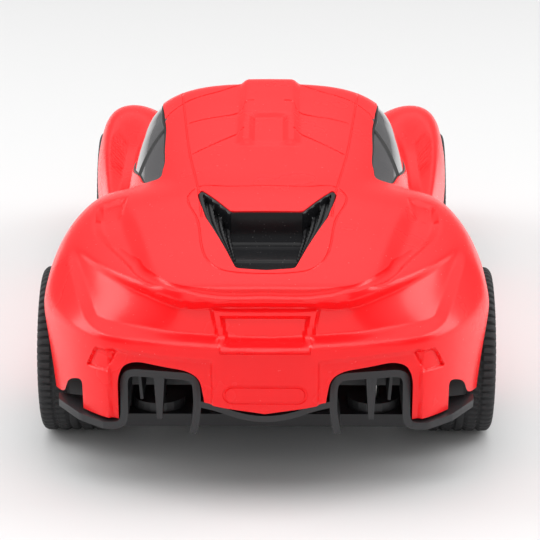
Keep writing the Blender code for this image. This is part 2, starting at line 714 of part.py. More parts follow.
ARCH_PATH = [(28.2, 9.8), (24.5, 9.4), (20.6, 9.4), (19.1, 9.8), (18.6, 11.0), (18.6, 15.6), (18.1, 16.9),
             (17.0, 17.4), (10.2, 16.8), (9.1, 16.1), (8.8, 15.0), (8.9, 12.0), (9.5, 8.7)]
LIP_PATH = [(8.9, 12.9), (6.5, 12.4), (4.0, 11.6), (2.0, 11.2), (0.0, 11.1)]
FIN = [(13.3, 17.3), (14.5, 17.4), (14.2, 10.6), (13.6, 10.6)]
TUNNEL_END = [(8.8, 12.0), (8.8, 16.9), (18.8, 17.4), (18.8, 12.0)]
SKIN = 0.9
DIFFUSER_Y = (58.5, 70.6)
DIFFUSER_PLAN = [(0.0, 70.5), (9.0, 69.6), (18.0, 69.0), (21.5, 68.0), (25.0, 65.2), (28.0, 61.0), (28.4, 57.0),
                 (0.0, 57.0)]


def make_diffuser():
    """Matt black tail piece: two arched tunnels with fins, a middle lip and a sloping floor between them."""
    low, high = DIFFUSER_Y
    lip = LIP_PATH + [(-x, z) for x, z in reversed(LIP_PATH[:-1])]
    diffuser = prism("rear_diffuser", "Y", ribbon(lip, SKIN), low, high)
    for side, word in ((1, "left"), (-1, "right")):
        path, fin, wall = [[(side * x, z) for x, z in points] for points in (ARCH_PATH, FIN, TUNNEL_END)]
        fuse(diffuser, prism("arch_" + word, "Y", ribbon(path, SKIN), low, high - 0.8))
        fuse(diffuser, prism("fin_" + word, "Y", fin, low, high - 1.4))
        fuse(diffuser, prism("tunnel_end_" + word, "Y", wall, low, low + WALL))
    boolean(diffuser, prism("diffuser_limits", "Z", mirrored(DIFFUSER_PLAN), 0.0, 30.0), "INTERSECT")
    return show(diffuser, "matt_black")


# ---------------------------------------------------------------- spring motor


def gear_outline(teeth, phase):
    """Straight-sided teeth a little narrower than their gaps, one tooth centred on the phase angle."""
    pitch = 2 * math.pi / teeth
    root, tip = pitch_radius(teeth) - 0.62, pitch_radius(teeth) + 0.42
    points = []
    for tooth in range(teeth):
        middle = phase + tooth * pitch
        for radius, share in ((root, -0.29), (tip, -0.11), (tip, 0.11), (root, 0.29)):
            angle = middle + share * pitch
            points.append((radius * math.cos(angle), radius * math.sin(angle)))
    return points


def gear(name, teeth, phase, low, high):
    """Flat gear centred on the X axis."""
    return prism(name, "X", gear_outline(teeth, phase), low, high)


def centre_on(place, *shapes):
    """Give parts their origin on an axis parallel to X through a (y, z) place."""
    for shape in shapes:
        shape.location = Vector((0.0, *place)) * MM


AXLE_PHASE = TRANSFER_ANGLE
TRANSFER_GEAR_PHASE = TRANSFER_ANGLE + math.pi + math.pi / TRANSFER_GEAR_TEETH
TRANSFER_PINION_PHASE = SPRING_ANGLE
SPRING_PHASE = SPRING_ANGLE + math.pi + math.pi / SPRING_GEAR_TEETH


def make_gears():
    """Axle pinion, transfer gear, spring gear on its arbor and the sliding clutch gear."""
    bore = AXLE_RADIUS + GAP
    pinion = gear("axle_pinion", AXLE_PINION_TEETH, AXLE_PHASE, -0.8, 5.8)
    cut(pinion, rod("pinion_bore", "X", (-3.0, 0.0, 0.0), 12.0, bore, 16))
    transfer = gear("transfer_gear", TRANSFER_GEAR_TEETH, TRANSFER_GEAR_PHASE, 3.6, 5.4)
    small = gear("transfer_pinion_part", TRANSFER_PINION_TEETH, TRANSFER_PINION_PHASE, -0.6, 4.0)
    hole = rod("transfer_bore", "X", (-3.0, 0.0, 0.0), 12.0, AXLE_RADIUS, 16)
    fuse(transfer, small)
    cut(transfer, hole)
    spring = gear("spring_gear", SPRING_GEAR_TEETH, SPRING_PHASE, 0.2, 2.0)
    arbor = rod("arbor_part", "X", (-8.6, 0.0, 0.0), 17.2, PIN_RADIUS, 16)
    hub = rod("hub_part", "X", (-7.4, 0.0, 0.0), 14.8, 1.7, 16)
    fuse(spring, hub, arbor)
    clutch = gear("clutch_gear", CLUTCH_GEAR_TEETH, 0.0, 0.2, 2.0)
    clutch_bore = rod("clutch_bore", "X", (-2.0, 0.0, 0.0), 6.0, CLUTCH_PIN_RADIUS + RUNNING_GAP, 12)
    cut(clutch, clutch_bore)
    centre_on(AXLE_AT, pinion, bpy.data.objects["pinion_bore"])
    centre_on(TRANSFER_AT, transfer, small, hole)
    centre_on(SPRING_AT, spring, arbor, hub)
    centre_on(CLUTCH_AT, clutch, clutch_bore)
    for shape in (pinion, transfer, spring, clutch):
        show(shape, "gear_white")


def make_pins():
    """Steel pins of the transfer gear and the clutch gear."""
    for name, place, radius in (
        ("transfer_pin", TRANSFER_AT, PIN_RADIUS),
        ("clutch_pin", CLUTCH_AT, CLUTCH_PIN_RADIUS),
    ):
        pin = rod(name, "X", (-8.7, 0.0, 0.0), 17.4, radius, 16)
        centre_on(place, pin)
        show(pin, "steel")


def make_mainspring():
    """Flat spiral spring between the arbor and the case."""
    turns = 4.2
    first, growth, thickness = 2.2, 0.9, 0.36
    angles = np.linspace(0.0, turns * 2 * math.pi, int(turns * 20) + 1)
    radii = first + growth * angles / (2 * math.pi)
    inner = [(r * math.cos(a), r * math.sin(a)) for r, a in zip(radii - thickness / 2, angles)]
    outer = [(r * math.cos(a), r * math.sin(a)) for r, a in zip(radii + thickness / 2, angles)]
    spring = prism("mainspring", "X", inner + outer[::-1], -6.6, -1.2)
    centre_on(SPRING_AT, spring)
    return show(spring, "spring_steel")


def make_motor_case():
    """Moulded box for the motor, open on its left side, with a screw ear at each end, and its cover."""
    wide = MOTOR_HALF_WIDTH
    inner = wide - MOTOR_WALL
    case = box("motor_case", (-wide, MOTOR_Y[0], MOTOR_Z[0]), (inner - GAP, MOTOR_Y[1], MOTOR_Z[1]))
    cover = box("motor_cover", (inner, MOTOR_Y[0], MOTOR_Z[0]), (wide, MOTOR_Y[1], MOTOR_Z[1]))
    for name, low, high in (
        ("ear_front", MOTOR_Y[0] - 5.2, MOTOR_Y[0] + 1.0),
        ("ear_rear", MOTOR_Y[1] - 1.0, MOTOR_Y[1] + 5.0),
    ):
        fuse(case, box(name, (-4.0, low, EAR_Z[0]), (4.0, high, EAR_Z[1])))
    cut(case, box("motor_room", (-inner, MOTOR_Y[0] + MOTOR_WALL, MOTOR_Z[0] + MOTOR_WALL),
                  (wide + 1.0, MOTOR_Y[1] - MOTOR_WALL, MOTOR_Z[1] - MOTOR_WALL)))
    for name, y in MOTOR_SCREW_Y.items():
        cut(case, rod(name + "_ear_hole", "Z", (0.0, y, 6.0), 4.0, 1.1, 12))
    for name, (y, z), radius in (
        ("axle", AXLE_AT, AXLE_RADIUS + RUNNING_GAP),
        ("transfer", TRANSFER_AT, PIN_RADIUS + GAP),
        ("arbor", SPRING_AT, PIN_RADIUS + RUNNING_GAP),
    ):
        hole = rod(name + "_wall_holes", "X", (-12.0, y, z), 24.0, radius, 20)
        cut(case, hole)
        cut(cover, hole)
    slot = clutch_slot()
    cut(case, slot)
    cut(cover, slot)
    show(case, "motor_grey")
    show(cover, "motor_grey")


def clutch_slot():
    """Slanted slots that the clutch pin slides in, through both walls."""
    y, z = CLUTCH_AT
    way = math.atan2(CLUTCH_WAY[1], CLUTCH_WAY[0])
    radius = CLUTCH_PIN_RADIUS + RUNNING_GAP
    outline = []
    for end, start in ((0.0, way + math.pi / 2), (CLUTCH_TRAVEL, way - math.pi / 2)):
        centre = (y + end * CLUTCH_WAY[0], z + end * CLUTCH_WAY[1])
        outline += [stepped(centre, start + math.pi * i / 8, radius) for i in range(9)]
    return prism("clutch_slots", "X", outline, -12.0, 12.0)


def main():
    """Build every part."""
    make_shell()
    make_window_insert()
    make_vent_insert()
    make_lens("headlight_left", LENS)
    make_lens("headlight_right", flipped(LENS))
    front, rear = (FRONT_AXLE_Y, FRONT_TYRE_RADIUS), AXLE_AT
    for side, word in ((1, "left"), (-1, "right")):
        make_tyre("tyre_front_" + word, FRONT_TYRE_SIDES, FRONT_TYRE_RADIUS, front, side)
        make_tyre("tyre_rear_" + word, REAR_TYRE_SIDES, REAR_TYRE_RADIUS, rear, side)
        make_rim("rim_front_" + word, FRONT_TYRE_SIDES, front, side)
        make_rim("rim_rear_" + word, REAR_TYRE_SIDES, rear, side)
    make_axles()
    make_chassis()
    make_keeper()
    make_screws()
    make_diffuser()
    make_gears()
    make_pins()
    make_mainspring()
    make_motor_case()


main()
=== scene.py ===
"""Pull back car: the finished look of a moulded toy sports car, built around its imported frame."""

import math

import bmesh
import bpy
import numpy as np
from bpy.props import FloatProperty, FloatVectorProperty, IntProperty, PointerProperty
from mathutils import Matrix, Vector


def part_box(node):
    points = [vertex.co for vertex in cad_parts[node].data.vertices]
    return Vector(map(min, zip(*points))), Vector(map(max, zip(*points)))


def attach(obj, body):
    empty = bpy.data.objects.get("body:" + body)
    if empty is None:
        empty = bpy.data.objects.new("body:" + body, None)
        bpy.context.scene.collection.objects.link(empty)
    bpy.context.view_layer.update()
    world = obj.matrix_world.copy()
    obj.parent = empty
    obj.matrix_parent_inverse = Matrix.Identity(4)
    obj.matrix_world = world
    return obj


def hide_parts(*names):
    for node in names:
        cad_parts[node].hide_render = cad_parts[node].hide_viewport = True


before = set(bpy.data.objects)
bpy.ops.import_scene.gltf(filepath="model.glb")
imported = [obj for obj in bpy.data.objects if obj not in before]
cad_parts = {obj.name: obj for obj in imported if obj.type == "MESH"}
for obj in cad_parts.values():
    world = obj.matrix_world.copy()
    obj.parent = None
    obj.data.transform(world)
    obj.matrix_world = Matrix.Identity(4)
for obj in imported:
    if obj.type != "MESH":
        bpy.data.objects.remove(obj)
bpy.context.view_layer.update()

bl_info = {
    "name": "Pull back car",
    "version": (1, 0, 0),
    "blender": (4, 5, 0),
    "location": "View3D > Sidebar > Toy car",
    "description": "Builds the skin, wheels, trim and stage of a pull back car around its frame",
    "category": "Add Mesh",
}

MM = 0.001
BODY = "car_body"
# Each wheel's axle, side, way outwards along X and body.
WHEELS = [(axle, side, way, axle + "_wheels")
          for axle in ("front", "rear") for side, way in (("left", 1), ("right", -1))]


def corners(node):
    """Lowest and highest corners of a frame part, in millimetres."""
    low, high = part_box(node)
    return np.array(low) / MM, np.array(high) / MM


def hub(node):
    """Middle of a frame part, in millimetres."""
    low, high = corners(node)
    return (low + high) / 2


def tyre_radius(axle):
    """Radius of a tyre that stands on the floor, in millimetres."""
    return corners(f"tyre_{axle}_left")[1][2] / 2


# ---------------------------------------------------------------- settings


class CarSizes(bpy.types.PropertyGroup):
    """Sizes of the visible skin and trim."""

    wall: FloatProperty(
        name="Wall", description="Thickness of the red moulding", default=0.0012, unit="LENGTH")
    across: IntProperty(
        name="Rows across", description="Cells of the skin from side to side", default=160)
    along: IntProperty(
        name="Rows along", description="Cells of the skin from nose to tail", default=400)
    upward: IntProperty(
        name="Rows up", description="Cells of the skin up its sides", default=84)
    groove: FloatProperty(
        name="Groove", description="Radius of the panel grooves", default=0.00022, unit="LENGTH")
    tread_pitch: FloatProperty(
        name="Tread pitch", description="Distance between the cross grooves", default=0.0011, unit="LENGTH")
    tread_depth: FloatProperty(
        name="Tread depth", description="Depth of the tyre's grooves", default=0.00032, unit="LENGTH")


class CarColours(bpy.types.PropertyGroup):
    """Colours of the mouldings."""

    red: FloatVectorProperty(
        name="Body red", description="Colour of the moulded shell", subtype="COLOR",
        default=(0.96, 0.008, 0.011))
    trim: FloatVectorProperty(
        name="Trim black", description="Colour of the floor pan and diffuser", subtype="COLOR",
        default=(0.018, 0.018, 0.020))
    vent: FloatVectorProperty(
        name="Vent black", description="Colour of the glossy deck vent", subtype="COLOR",
        default=(0.008, 0.008, 0.009))
    glass: FloatVectorProperty(
        name="Window", description="Colour of the window moulding", subtype="COLOR",
        default=(0.05, 0.048, 0.052))
    rubber: FloatVectorProperty(
        name="Rubber", description="Colour of the tyres", subtype="COLOR", default=(0.014, 0.014, 0.015))
    rim: FloatVectorProperty(
        name="Rim", description="Colour of the wheels", subtype="COLOR", default=(0.5, 0.51, 0.53))
    floor: FloatVectorProperty(
        name="Floor", description="Colour of the studio floor", subtype="COLOR", default=(0.67, 0.67, 0.67))


def sizes():
    """The sizes in use."""
    return bpy.context.scene.car_sizes


def colours():
    """The colours in use."""
    return bpy.context.scene.car_colours


# ---------------------------------------------------------------- shader maths


class Wire:
    """A shader value: arithmetic on wires and numbers adds Math nodes."""

    def __init__(self, build, socket):
        self.build = build
        self.socket = socket

    def math(self, operation, *others):
        """Add one Math node."""
        return self.build.add("ShaderNodeMath", {"operation": operation}, [self, *others])

    def __add__(self, other):
        return self.math("ADD", other)

    def __sub__(self, other):
        return self.math("SUBTRACT", other)

    def __mul__(self, other):
        return self.math("MULTIPLY", other)

    def __radd__(self, other):
        return self.math("ADD", other)

    def __rmul__(self, other):
        return self.math("MULTIPLY", other)

    def __rsub__(self, other):
        return self.build.add("ShaderNodeMath", {"operation": "SUBTRACT"}, [other, self])

    def step(self, low, high):
        """Map a range to 0..1 smoothly."""
        return self.build.add(
            "ShaderNodeMapRange", {"interpolation_type": "SMOOTHSTEP"},
            {"Value": self, "From Min": low, "From Max": high})


class Network:
    """A node tree under construction."""

    def __init__(self, tree):
        self.tree = tree

    def add(self, kind, settings=None, inputs=None, output=0):
        """Add a node: its settings come first, then its inputs by place or by name."""
        node = self.tree.nodes.new(kind)
        for key, value in (settings or {}).items():
            setattr(node, key, value)
        pairs = inputs.items() if isinstance(inputs, dict) else enumerate(inputs or [])
        for key, value in pairs:
            self.feed(node.inputs[key], value)
        return Wire(self, node.outputs[output])

    def feed(self, socket, value):
        """Link a wire to a socket, or set a constant on it."""
        if isinstance(value, Wire):
            self.tree.links.new(value.socket, socket)
        else:
            socket.default_value = value


class Finish(Network):
    """A material under construction."""

    def __init__(self, name):
        self.material = bpy.data.materials.new(name)
        self.material.use_nodes = True
        super().__init__(self.material.node_tree)
        self.shader = self.tree.nodes["Principled BSDF"]

    def set(self, **values):
        """Set Principled inputs: underscores stand for spaces."""
        for key, value in values.items():
            self.feed(self.shader.inputs[key.replace("_", " ")], value)
        return self

    def place(self):
        """Position on the piece, in metres."""
        return self.add("ShaderNodeTexCoord", output="Object")

    def noise(self, scale, detail=2.0, rough=0.5):
        """Fine noise from 0 to 1, in cycles per metre."""
        return self.add("ShaderNodeTexNoise", {}, {
            "Vector": self.place(), "Scale": scale, "Detail": detail, "Roughness": rough})

    def mix(self, factor, first, second):
        """Blend two colours."""
        return self.add("ShaderNodeMix", {"data_type": "RGBA"}, {0: factor, 6: first, 7: second}, output=2)

    def bump(self, height, strength, distance):
        """Turn a height into a bumped normal."""
        return self.add("ShaderNodeBump", {}, {"Strength": strength, "Distance": distance, "Height": height})


def rgba(colour, gain=1.0):
    """A colour as four numbers."""
    return (colour[0] * gain, colour[1] * gain, colour[2] * gain, 1.0)


# ---------------------------------------------------------------- building tools


def new_piece(name, mesh):
    """Put a mesh in the scene as an object."""
    piece = bpy.data.objects.new(name, mesh)
    bpy.context.scene.collection.objects.link(piece)
    return piece


def finished(name, shape):
    """Turn a bmesh into an object in the scene."""
    mesh = bpy.data.meshes.new(name)
    shape.to_mesh(mesh)
    shape.free()
    return new_piece(name, mesh)


def drop(*pieces):
    """Remove helper objects."""
    for piece in pieces:
        bpy.data.objects.remove(piece, do_unlink=True)


def settle(piece):
    """Replace a piece by what its modifiers make of it."""
    graph = bpy.context.evaluated_depsgraph_get()
    mesh = bpy.data.meshes.new_from_object(piece.evaluated_get(graph))
    piece.modifiers.clear()
    piece.data = mesh
    return piece


def combine(piece, tools, operation="DIFFERENCE"):
    """Cut, keep or join with each tool, then remove the tools."""
    for tool in tools:
        modifier = piece.modifiers.new(operation.lower(), "BOOLEAN")
        modifier.operation = operation
        modifier.object = tool
        modifier.solver = "MANIFOLD"
    settle(piece)
    drop(*tools)
    return piece


def soften(piece, angle):
    """Shade smooth, with sharp edges where faces meet at more than an angle in degrees."""
    piece.data.shade_smooth()
    piece.data.set_sharp_from_angle(angle=math.radians(angle))
    return piece


def bevel(piece, width, angle=30.0):
    """Round the edges: width in millimetres."""
    modifier = piece.modifiers.new("rounded", "BEVEL")
    modifier.width = width * MM
    modifier.segments = 2
    modifier.limit_method = "ANGLE"
    modifier.angle_limit = math.radians(angle)
    modifier.use_clamp_overlap = True
    return piece


def paint(piece, finish):
    """Give a piece its material in place of any other."""
    piece.data.materials.clear()
    piece.data.materials.append(finish.material)
    return piece


def declare(piece, body, slot, *nodes):
    """Hang a piece under the body it rides and hide the frame parts it stands for; the slot, meant to name
    its finish, is not used.
    """
    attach(piece, body)
    if nodes:
        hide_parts(*nodes)
    return piece


def complete(piece, angle, finish, body, slot, *nodes):
    """Shade, paint and declare a piece: the angle in degrees is where edges stay sharp."""
    paint(soften(piece, angle), finish)
    return declare(piece, body, slot, *nodes)


TURNS = {
    "X": Matrix(((0, 0, 1), (1, 0, 0), (0, 1, 0))),
    "Y": Matrix(((1, 0, 0), (0, 0, -1), (0, 1, 0))),
    "Z": Matrix.Identity(3),
}


def weld(mesh, matrix=None):
    """Merge touching points, move the mesh and point its faces outwards."""
    shape = bmesh.new()
    shape.from_mesh(mesh)
    bmesh.ops.remove_doubles(shape, verts=shape.verts, dist=1e-6)
    if matrix is not None:
        bmesh.ops.transform(shape, matrix=matrix, verts=shape.verts)
    bmesh.ops.recalc_face_normals(shape, faces=shape.faces)
    shape.to_mesh(mesh)
    shape.free()
    return mesh


def curve_mesh(name, curve, matrix=None):
    """Turn curve data into a welded mesh object."""
    source = new_piece(name, curve)
    graph = bpy.context.evaluated_depsgraph_get()
    mesh = bpy.data.meshes.new_from_object(source.evaluated_get(graph))
    drop(source)
    return new_piece(name, weld(mesh, matrix))


def prism(name, axis, outline, low, high):
    """Return a flat outline given thickness: (y, z) for X, (x, z) for Y and (x, y) for Z."""
    curve = bpy.data.curves.new(name, "CURVE")
    curve.dimensions = "2D"
    curve.fill_mode = "BOTH"
    curve.extrude = abs(high - low) * MM / 2
    spline = curve.splines.new("POLY")
    spline.points.add(len(outline) - 1)
    for point, (u, v) in zip(spline.points, outline):
        point.co = (u * MM, v * MM, 0.0, 1.0)
    spline.use_cyclic_u = True
    sign = -1 if axis == "Y" else 1
    middle = Vector(TURNS[axis].col[2]) * sign * (low + high) * MM / 2
    return curve_mesh(name, curve, Matrix.Translation(middle) @ TURNS[axis].to_4x4())


def tube(name, paths, radius, closed=False, sides=3):
    """Return round bars along paths of points in millimetres."""
    curve = bpy.data.curves.new(name, "CURVE")
    curve.dimensions = "3D"
    curve.bevel_depth = radius * MM
    curve.bevel_resolution = sides
    curve.use_fill_caps = True
    for path in paths:
        spline = curve.splines.new("POLY")
        spline.points.add(len(path) - 1)
        for point, place in zip(spline.points, path):
            point.co = (*(np.array(place) * MM), 1.0)
        spline.use_cyclic_u = closed
    return curve_mesh(name, curve)


def bar(name, axis, start, length, radius, segments=64):
    """Return a round bar that starts at a point and runs along +X or +Z."""
    shape = bmesh.new()
    bmesh.ops.create_cone(shape, cap_ends=True, segments=segments, radius1=radius * MM, radius2=radius * MM,
                          depth=length * MM)
    bmesh.ops.translate(shape, verts=shape.verts, vec=(0, 0, length * MM / 2))
    bmesh.ops.transform(shape, matrix=Matrix.Translation(Vector(start) * MM) @ TURNS[axis].to_4x4(),
                        verts=shape.verts)
    return finished(name, shape)


def block(name, low, high):
    """Return a box between two corners."""
    shape = bmesh.new()
    bmesh.ops.create_cube(shape, size=1.0)
    size = (Vector(high) - Vector(low)) * MM
    middle = (Vector(high) + Vector(low)) * MM / 2
    bmesh.ops.transform(shape, matrix=Matrix.LocRotScale(middle, None, size), verts=shape.verts)
    return finished(name, shape)


def mirrored(points):
    """Complete an outline that starts and ends on the middle plane."""
    return points + [(-u, v) for u, v in reversed(points) if u != 0.0]


def flipped(points):
    """The same points on the other side."""
    return [(-point[0], *point[1:]) for point in reversed(points)]


def through(knots):
    """Return a smooth function of one variable that passes through (position, value) knots."""
    places, values = np.array(knots, float).T
    slopes = np.gradient(values, places)

    def value_at(where):
        where = np.clip(where, places[0], places[-1])
        i = np.clip(np.searchsorted(places, where) - 1, 0, len(places) - 2)
        span = places[i + 1] - places[i]
        t = (where - places[i]) / span
        start = values[i] * (1 + 2 * t) * (1 - t) ** 2 + slopes[i] * span * t * (1 - t) ** 2
        end = values[i + 1] * t * t * (3 - 2 * t) + slopes[i + 1] * span * t * t * (t - 1)
        return start + end

    return value_at


def smoothed(points, spacing, closed=False):
    """Even points along a smooth curve through a few points."""
    points = [np.array(point, float) for point in points]
    if closed:
        points = points[-2:] + points + points[:2]
    knots = np.concatenate([[0.0], np.cumsum([np.linalg.norm(b - a) for a, b in zip(points, points[1:])])])
    start, stop = (knots[2], knots[-2]) if closed else (knots[0], knots[-1])
    count = max(int((stop - start) / spacing), 3)
    where = np.linspace(start, stop, count, endpoint=not closed)
    parts = [through(list(zip(knots, values)))(where) for values in np.transpose(points)]
    return list(zip(*parts))


# ---------------------------------------------------------------- body surface


def smooth_max(a, b, blend):
    """Larger of two fields, rounded where they meet."""
    return 0.5 * (a + b + np.sqrt((a - b) ** 2 + blend**2))


def smooth_min(a, b, blend):
    """Smaller of two fields, rounded where they meet."""
    return -smooth_max(-a, -b, blend)


def ease(value, low, high):
    """Rise smoothly from 0 at low to 1 at high."""
    t = np.clip((value - low) / (high - low), 0.0, 1.0)
    return t * t * (3 - 2 * t)


def band(value, low, high, soft):
    """1 between two limits, fading to 0 over a soft edge outside them."""
    return ease(value, low - soft, low) * (1 - ease(value, high, high + soft))


# Heights and half-widths along the car, each as (y, value) in millimetres.
HOOD_HEIGHT = through([(-73, 12), (-68, 15.6), (-60, 18.4), (-50, 21.0), (-42, 22.8), (-30, 24.5),
                       (-10, 26)])
ROOF_HEIGHT = through([(-44, 17.5), (-35, 24.2), (-24, 31.6), (-14, 36.7), (-8, 38.2), (0, 38.0), (10, 37.1),
                       (20, 36.0), (30, 34.9), (40, 33.4), (50, 31.2), (60, 28.4), (73, 24)])
ROOF_HALF_WIDTH = through([(-44, 18.5), (-20, 20.8), (-8, 21.3), (5, 21.6), (20, 20.6), (32, 18.6),
                           (45, 16.5), (73, 13)])
DECK_CREST = through([(-30, 20), (-12, 22.2), (0, 23.6), (10, 26.2), (20, 28.7), (30, 30.1), (40, 30.2),
                      (50, 29.0), (60, 26.8), (66, 24.6), (73, 21.5)])
DECK_RISE = through([(-30, 0), (10, 0), (20, 0.3), (30, 2.2), (40, 3.4), (50, 3.7), (60, 4.6), (66, 5.6),
                     (73, 7.6)])
FENDER_CREST = through([(-73, 12), (-66, 17.4), (-55, 23.6), (-42, 26.6), (-30, 25.0), (-20, 23.2),
                        (0, 20.0)])
SIDE_HALF_WIDTH = through([(-73, 28.5), (-55, 30.2), (-42, 30.5), (-30, 30.0), (-18, 28.2), (-6, 26.8),
                           (8, 26.3), (20, 27.0), (30, 29.4), (40, 31.1), (50, 31.5), (60, 31.0), (73, 29.5)])
RIDGE_PLAN = through([(0, 73), (8, 72.8), (15, 71.6), (22, 68.5), (26, 63.5), (30, 55), (34, 42)])
TAIL_PLAN = through([(0, 71.2), (8, 70.9), (11.5, 70.2), (15.5, 67.6), (19, 64.5), (22.6, 60), (26, 54),
                     (30, 46), (34, 34)])
NOSE_PLAN = through([(0, 73), (10, 72.2), (18, 69.8), (24, 65.4), (28, 58), (30, 50), (34, 38)])
DECK_HALF_WIDTH = 27.5
RIDGE_Z = 21.2
TAIL_TOP_Z = 29.0
SILL_Z = 6.5

# Edges of the sunk channel between the deck and the haunch, as (y, x).
CHANNEL_INNER = through([(34, 21.4), (40, 19.6), (50, 17.3), (58, 15.7), (64, 14.4), (70, 12.6)])
CHANNEL_OUTER = through([(34, 23.0), (40, 24.4), (46, 24.0), (52, 22.6), (59, 19.6), (66, 16.2), (70, 13.5)])


def top_height(x, y):
    """Height of the upper surface: roof, deck, hood and front fenders, with their raised and sunk shapes."""
    across = np.abs(x)
    inside = np.clip(across / ROOF_HALF_WIDTH(y), 0.0, 1.0)
    base = 22.0
    roof = base + (ROOF_HEIGHT(y) - base) * (1 - inside**3.3) ** (1 / 3.3)
    roof = roof - 3.0 * np.clip(across - ROOF_HALF_WIDTH(y), 0.0, None)
    fall = np.clip(across / DECK_HALF_WIDTH, 0.0, 1.3)
    deck = DECK_CREST(y) + DECK_RISE(y) * (1 - fall**3.3)
    hood = HOOD_HEIGHT(y) - 0.006 * across**2
    fender = FENDER_CREST(y) - 0.055 * (across - 25.5) ** 2
    height = smooth_max(roof, deck, 1.6)
    height = smooth_max(height, hood, 1.2)
    height = smooth_max(height, fender, 1.4)
    spine = (1 - ease(across, 3.5, 4.9)) * ease(y, -26, -10) * (1 - ease(y, 20.8, 22.6))
    step = (1 - ease(across, 1.9, 3.0)) * ease(y, 9.6, 11.0) * (1 - ease(y, 20.8, 22.6))
    channel = ease(across, CHANNEL_INNER(y), CHANNEL_INNER(y) + 2.4)
    channel *= 1 - ease(across, CHANNEL_OUTER(y) - 1.6, CHANNEL_OUTER(y) + 0.4)
    channel *= ease(y, 36, 50)
    intake = band(across, 20.8, 23.0, 1.1) * band(y, 38.0, 43.5, 1.2)
    valley = band(across, 23.4, 24.4, 3.4) * ease(y, -40, -28) * (1 - ease(y, -6, 10))
    return height + 0.8 * spine - 0.55 * step - 1.2 * channel - 0.8 * intake - 3.0 * valley


def side_reach(y, z):
    """Half-width of the flanks, fullest at hub height."""
    above = np.clip(z - 18.0, 0.0, None)
    below = np.clip(17.0 - z, 0.0, None)
    return SIDE_HALF_WIDTH(y) - 0.017 * above**2 - 0.011 * below**2


def tail_reach(x, z):
    """How far back the tail goes: band, sunk panel with its plate, bumper ridge and the moulded arches."""
    across = np.abs(x)
    rising = ease(z, RIDGE_Z, TAIL_TOP_Z)
    reach = RIDGE_PLAN(across) * (1 - rising) + TAIL_PLAN(across) * rising
    panel_top = 25.8 + 0.16 * np.clip(across - 11.0, 0.0, None)
    panel = ease(z, 21.5 + 0.03 * across, 22.9 + 0.03 * across) * (1 - ease(z, panel_top, panel_top + 1.8))
    panel *= 1 - ease(across, 21.0 + (z - 22) * 0.75, 23.4 + (z - 22) * 0.75)
    plate = (1 - ease(across + 0.25 * (25.4 - z), 6.6, 7.0)) * band(z, 21.6, 25.9, 0.6)
    inset = (1 - ease(across + 0.25 * (25.4 - z), 5.5, 5.9)) * band(z, 22.5, 25.0, 0.5)
    arch_top = 19.3 + 0.05 * (across - 8)
    arch = band(across, 7.2, 20.2, 0.5) * (1 - ease(z, arch_top, arch_top + 1.0))
    lamp_slant = (20.3 - z) * 0.45
    lamp = band(across - lamp_slant, 19.6, 22.0, 0.35) * band(z, 17.5, 20.0, 0.35)
    reach = reach - 1.9 * panel + 1.0 * plate - 0.8 * inset - 0.6 * arch - 0.6 * lamp
    return reach - 0.012 * np.clip(RIDGE_Z - z, 0.0, None) ** 2


def nose_reach(x, z):
    """How far forward the nose goes, with a wide low air intake."""
    intake = band(np.abs(x), -1.0, 15.0, 1.0) * band(z, 8.6, 11.4, 0.7)
    return NOSE_PLAN(np.abs(x)) - 0.03 * (z - 11.0) ** 2 - 1.6 * intake


def body_depth(points):
    """Field that is positive inside the closed body and negative outside."""
    x, y, z = points[..., 0], points[..., 1], points[..., 2]
    depth = smooth_min(top_height(x, y) - z, side_reach(y, z) - np.abs(x), 3.2)
    depth = smooth_min(depth, tail_reach(x, z) - y, 1.1)
    return smooth_min(depth, nose_reach(x, z) + y, 2.0)


def surface_points(inner, outer):
    """Bisect each ray from a point inside the body to one outside it."""
    low = np.zeros(inner.shape[:-1] + (1,))
    high = np.ones_like(low)
    for _ in range(28):
        middle = (low + high) / 2
        inside = body_depth(inner + middle * (outer - inner))[..., None] > 0
        low = np.where(inside, middle, low)
        high = np.where(inside, high, middle)
    return inner + low * (outer - inner)


def surface_normals(points, step=0.03):
    """Outward directions of the body surface."""
    slope = np.stack(
        [body_depth(points - step * unit) - body_depth(points + step * unit) for unit in np.eye(3)], axis=-1)
    return slope / np.linalg.norm(slope, axis=-1, keepdims=True)


CORE_LOW = np.array([-17.0, -52.0, SILL_Z])
CORE_HIGH = np.array([17.0, 56.0, 15.0])
REACH = np.array([45.0, 95.0, 60.0])


def grid_quads(across, along, key):
    """Quads of a grid: key(u, v) is the number of the point at a row and a column."""
    u, v = np.meshgrid(np.arange(across), np.arange(along), indexing="ij")
    return np.stack([key(u, v), key(u + 1, v), key(u + 1, v + 1), key(u, v + 1)], axis=-1).reshape(-1, 4)


def shell_grid(counts):
    """Points of a cube's top and four sides, from -1 to 1, and its quads."""
    nx, ny, nz = counts

    def key(i, j, k):
        return (i * (ny + 1) + j) * (nz + 1) + k

    quads = np.concatenate([
        grid_quads(nx, ny, lambda u, v: key(u, v, nz)),
        grid_quads(ny, nz, lambda u, v: key(nx, u, v)),
        grid_quads(nz, ny, lambda u, v: key(0, v, u)),
        grid_quads(nz, nx, lambda u, v: key(v, ny, u)),
        grid_quads(nx, nz, lambda u, v: key(u, 0, v)),
    ])
    used, quads = np.unique(quads, return_inverse=True)
    i, rest = np.divmod(used, (ny + 1) * (nz + 1))
    j, k = np.divmod(rest, nz + 1)
    unit = np.stack([2 * i / nx - 1, 2 * j / ny - 1, 2 * k / nz - 1], axis=1)
    return unit, quads.reshape(-1, 4)


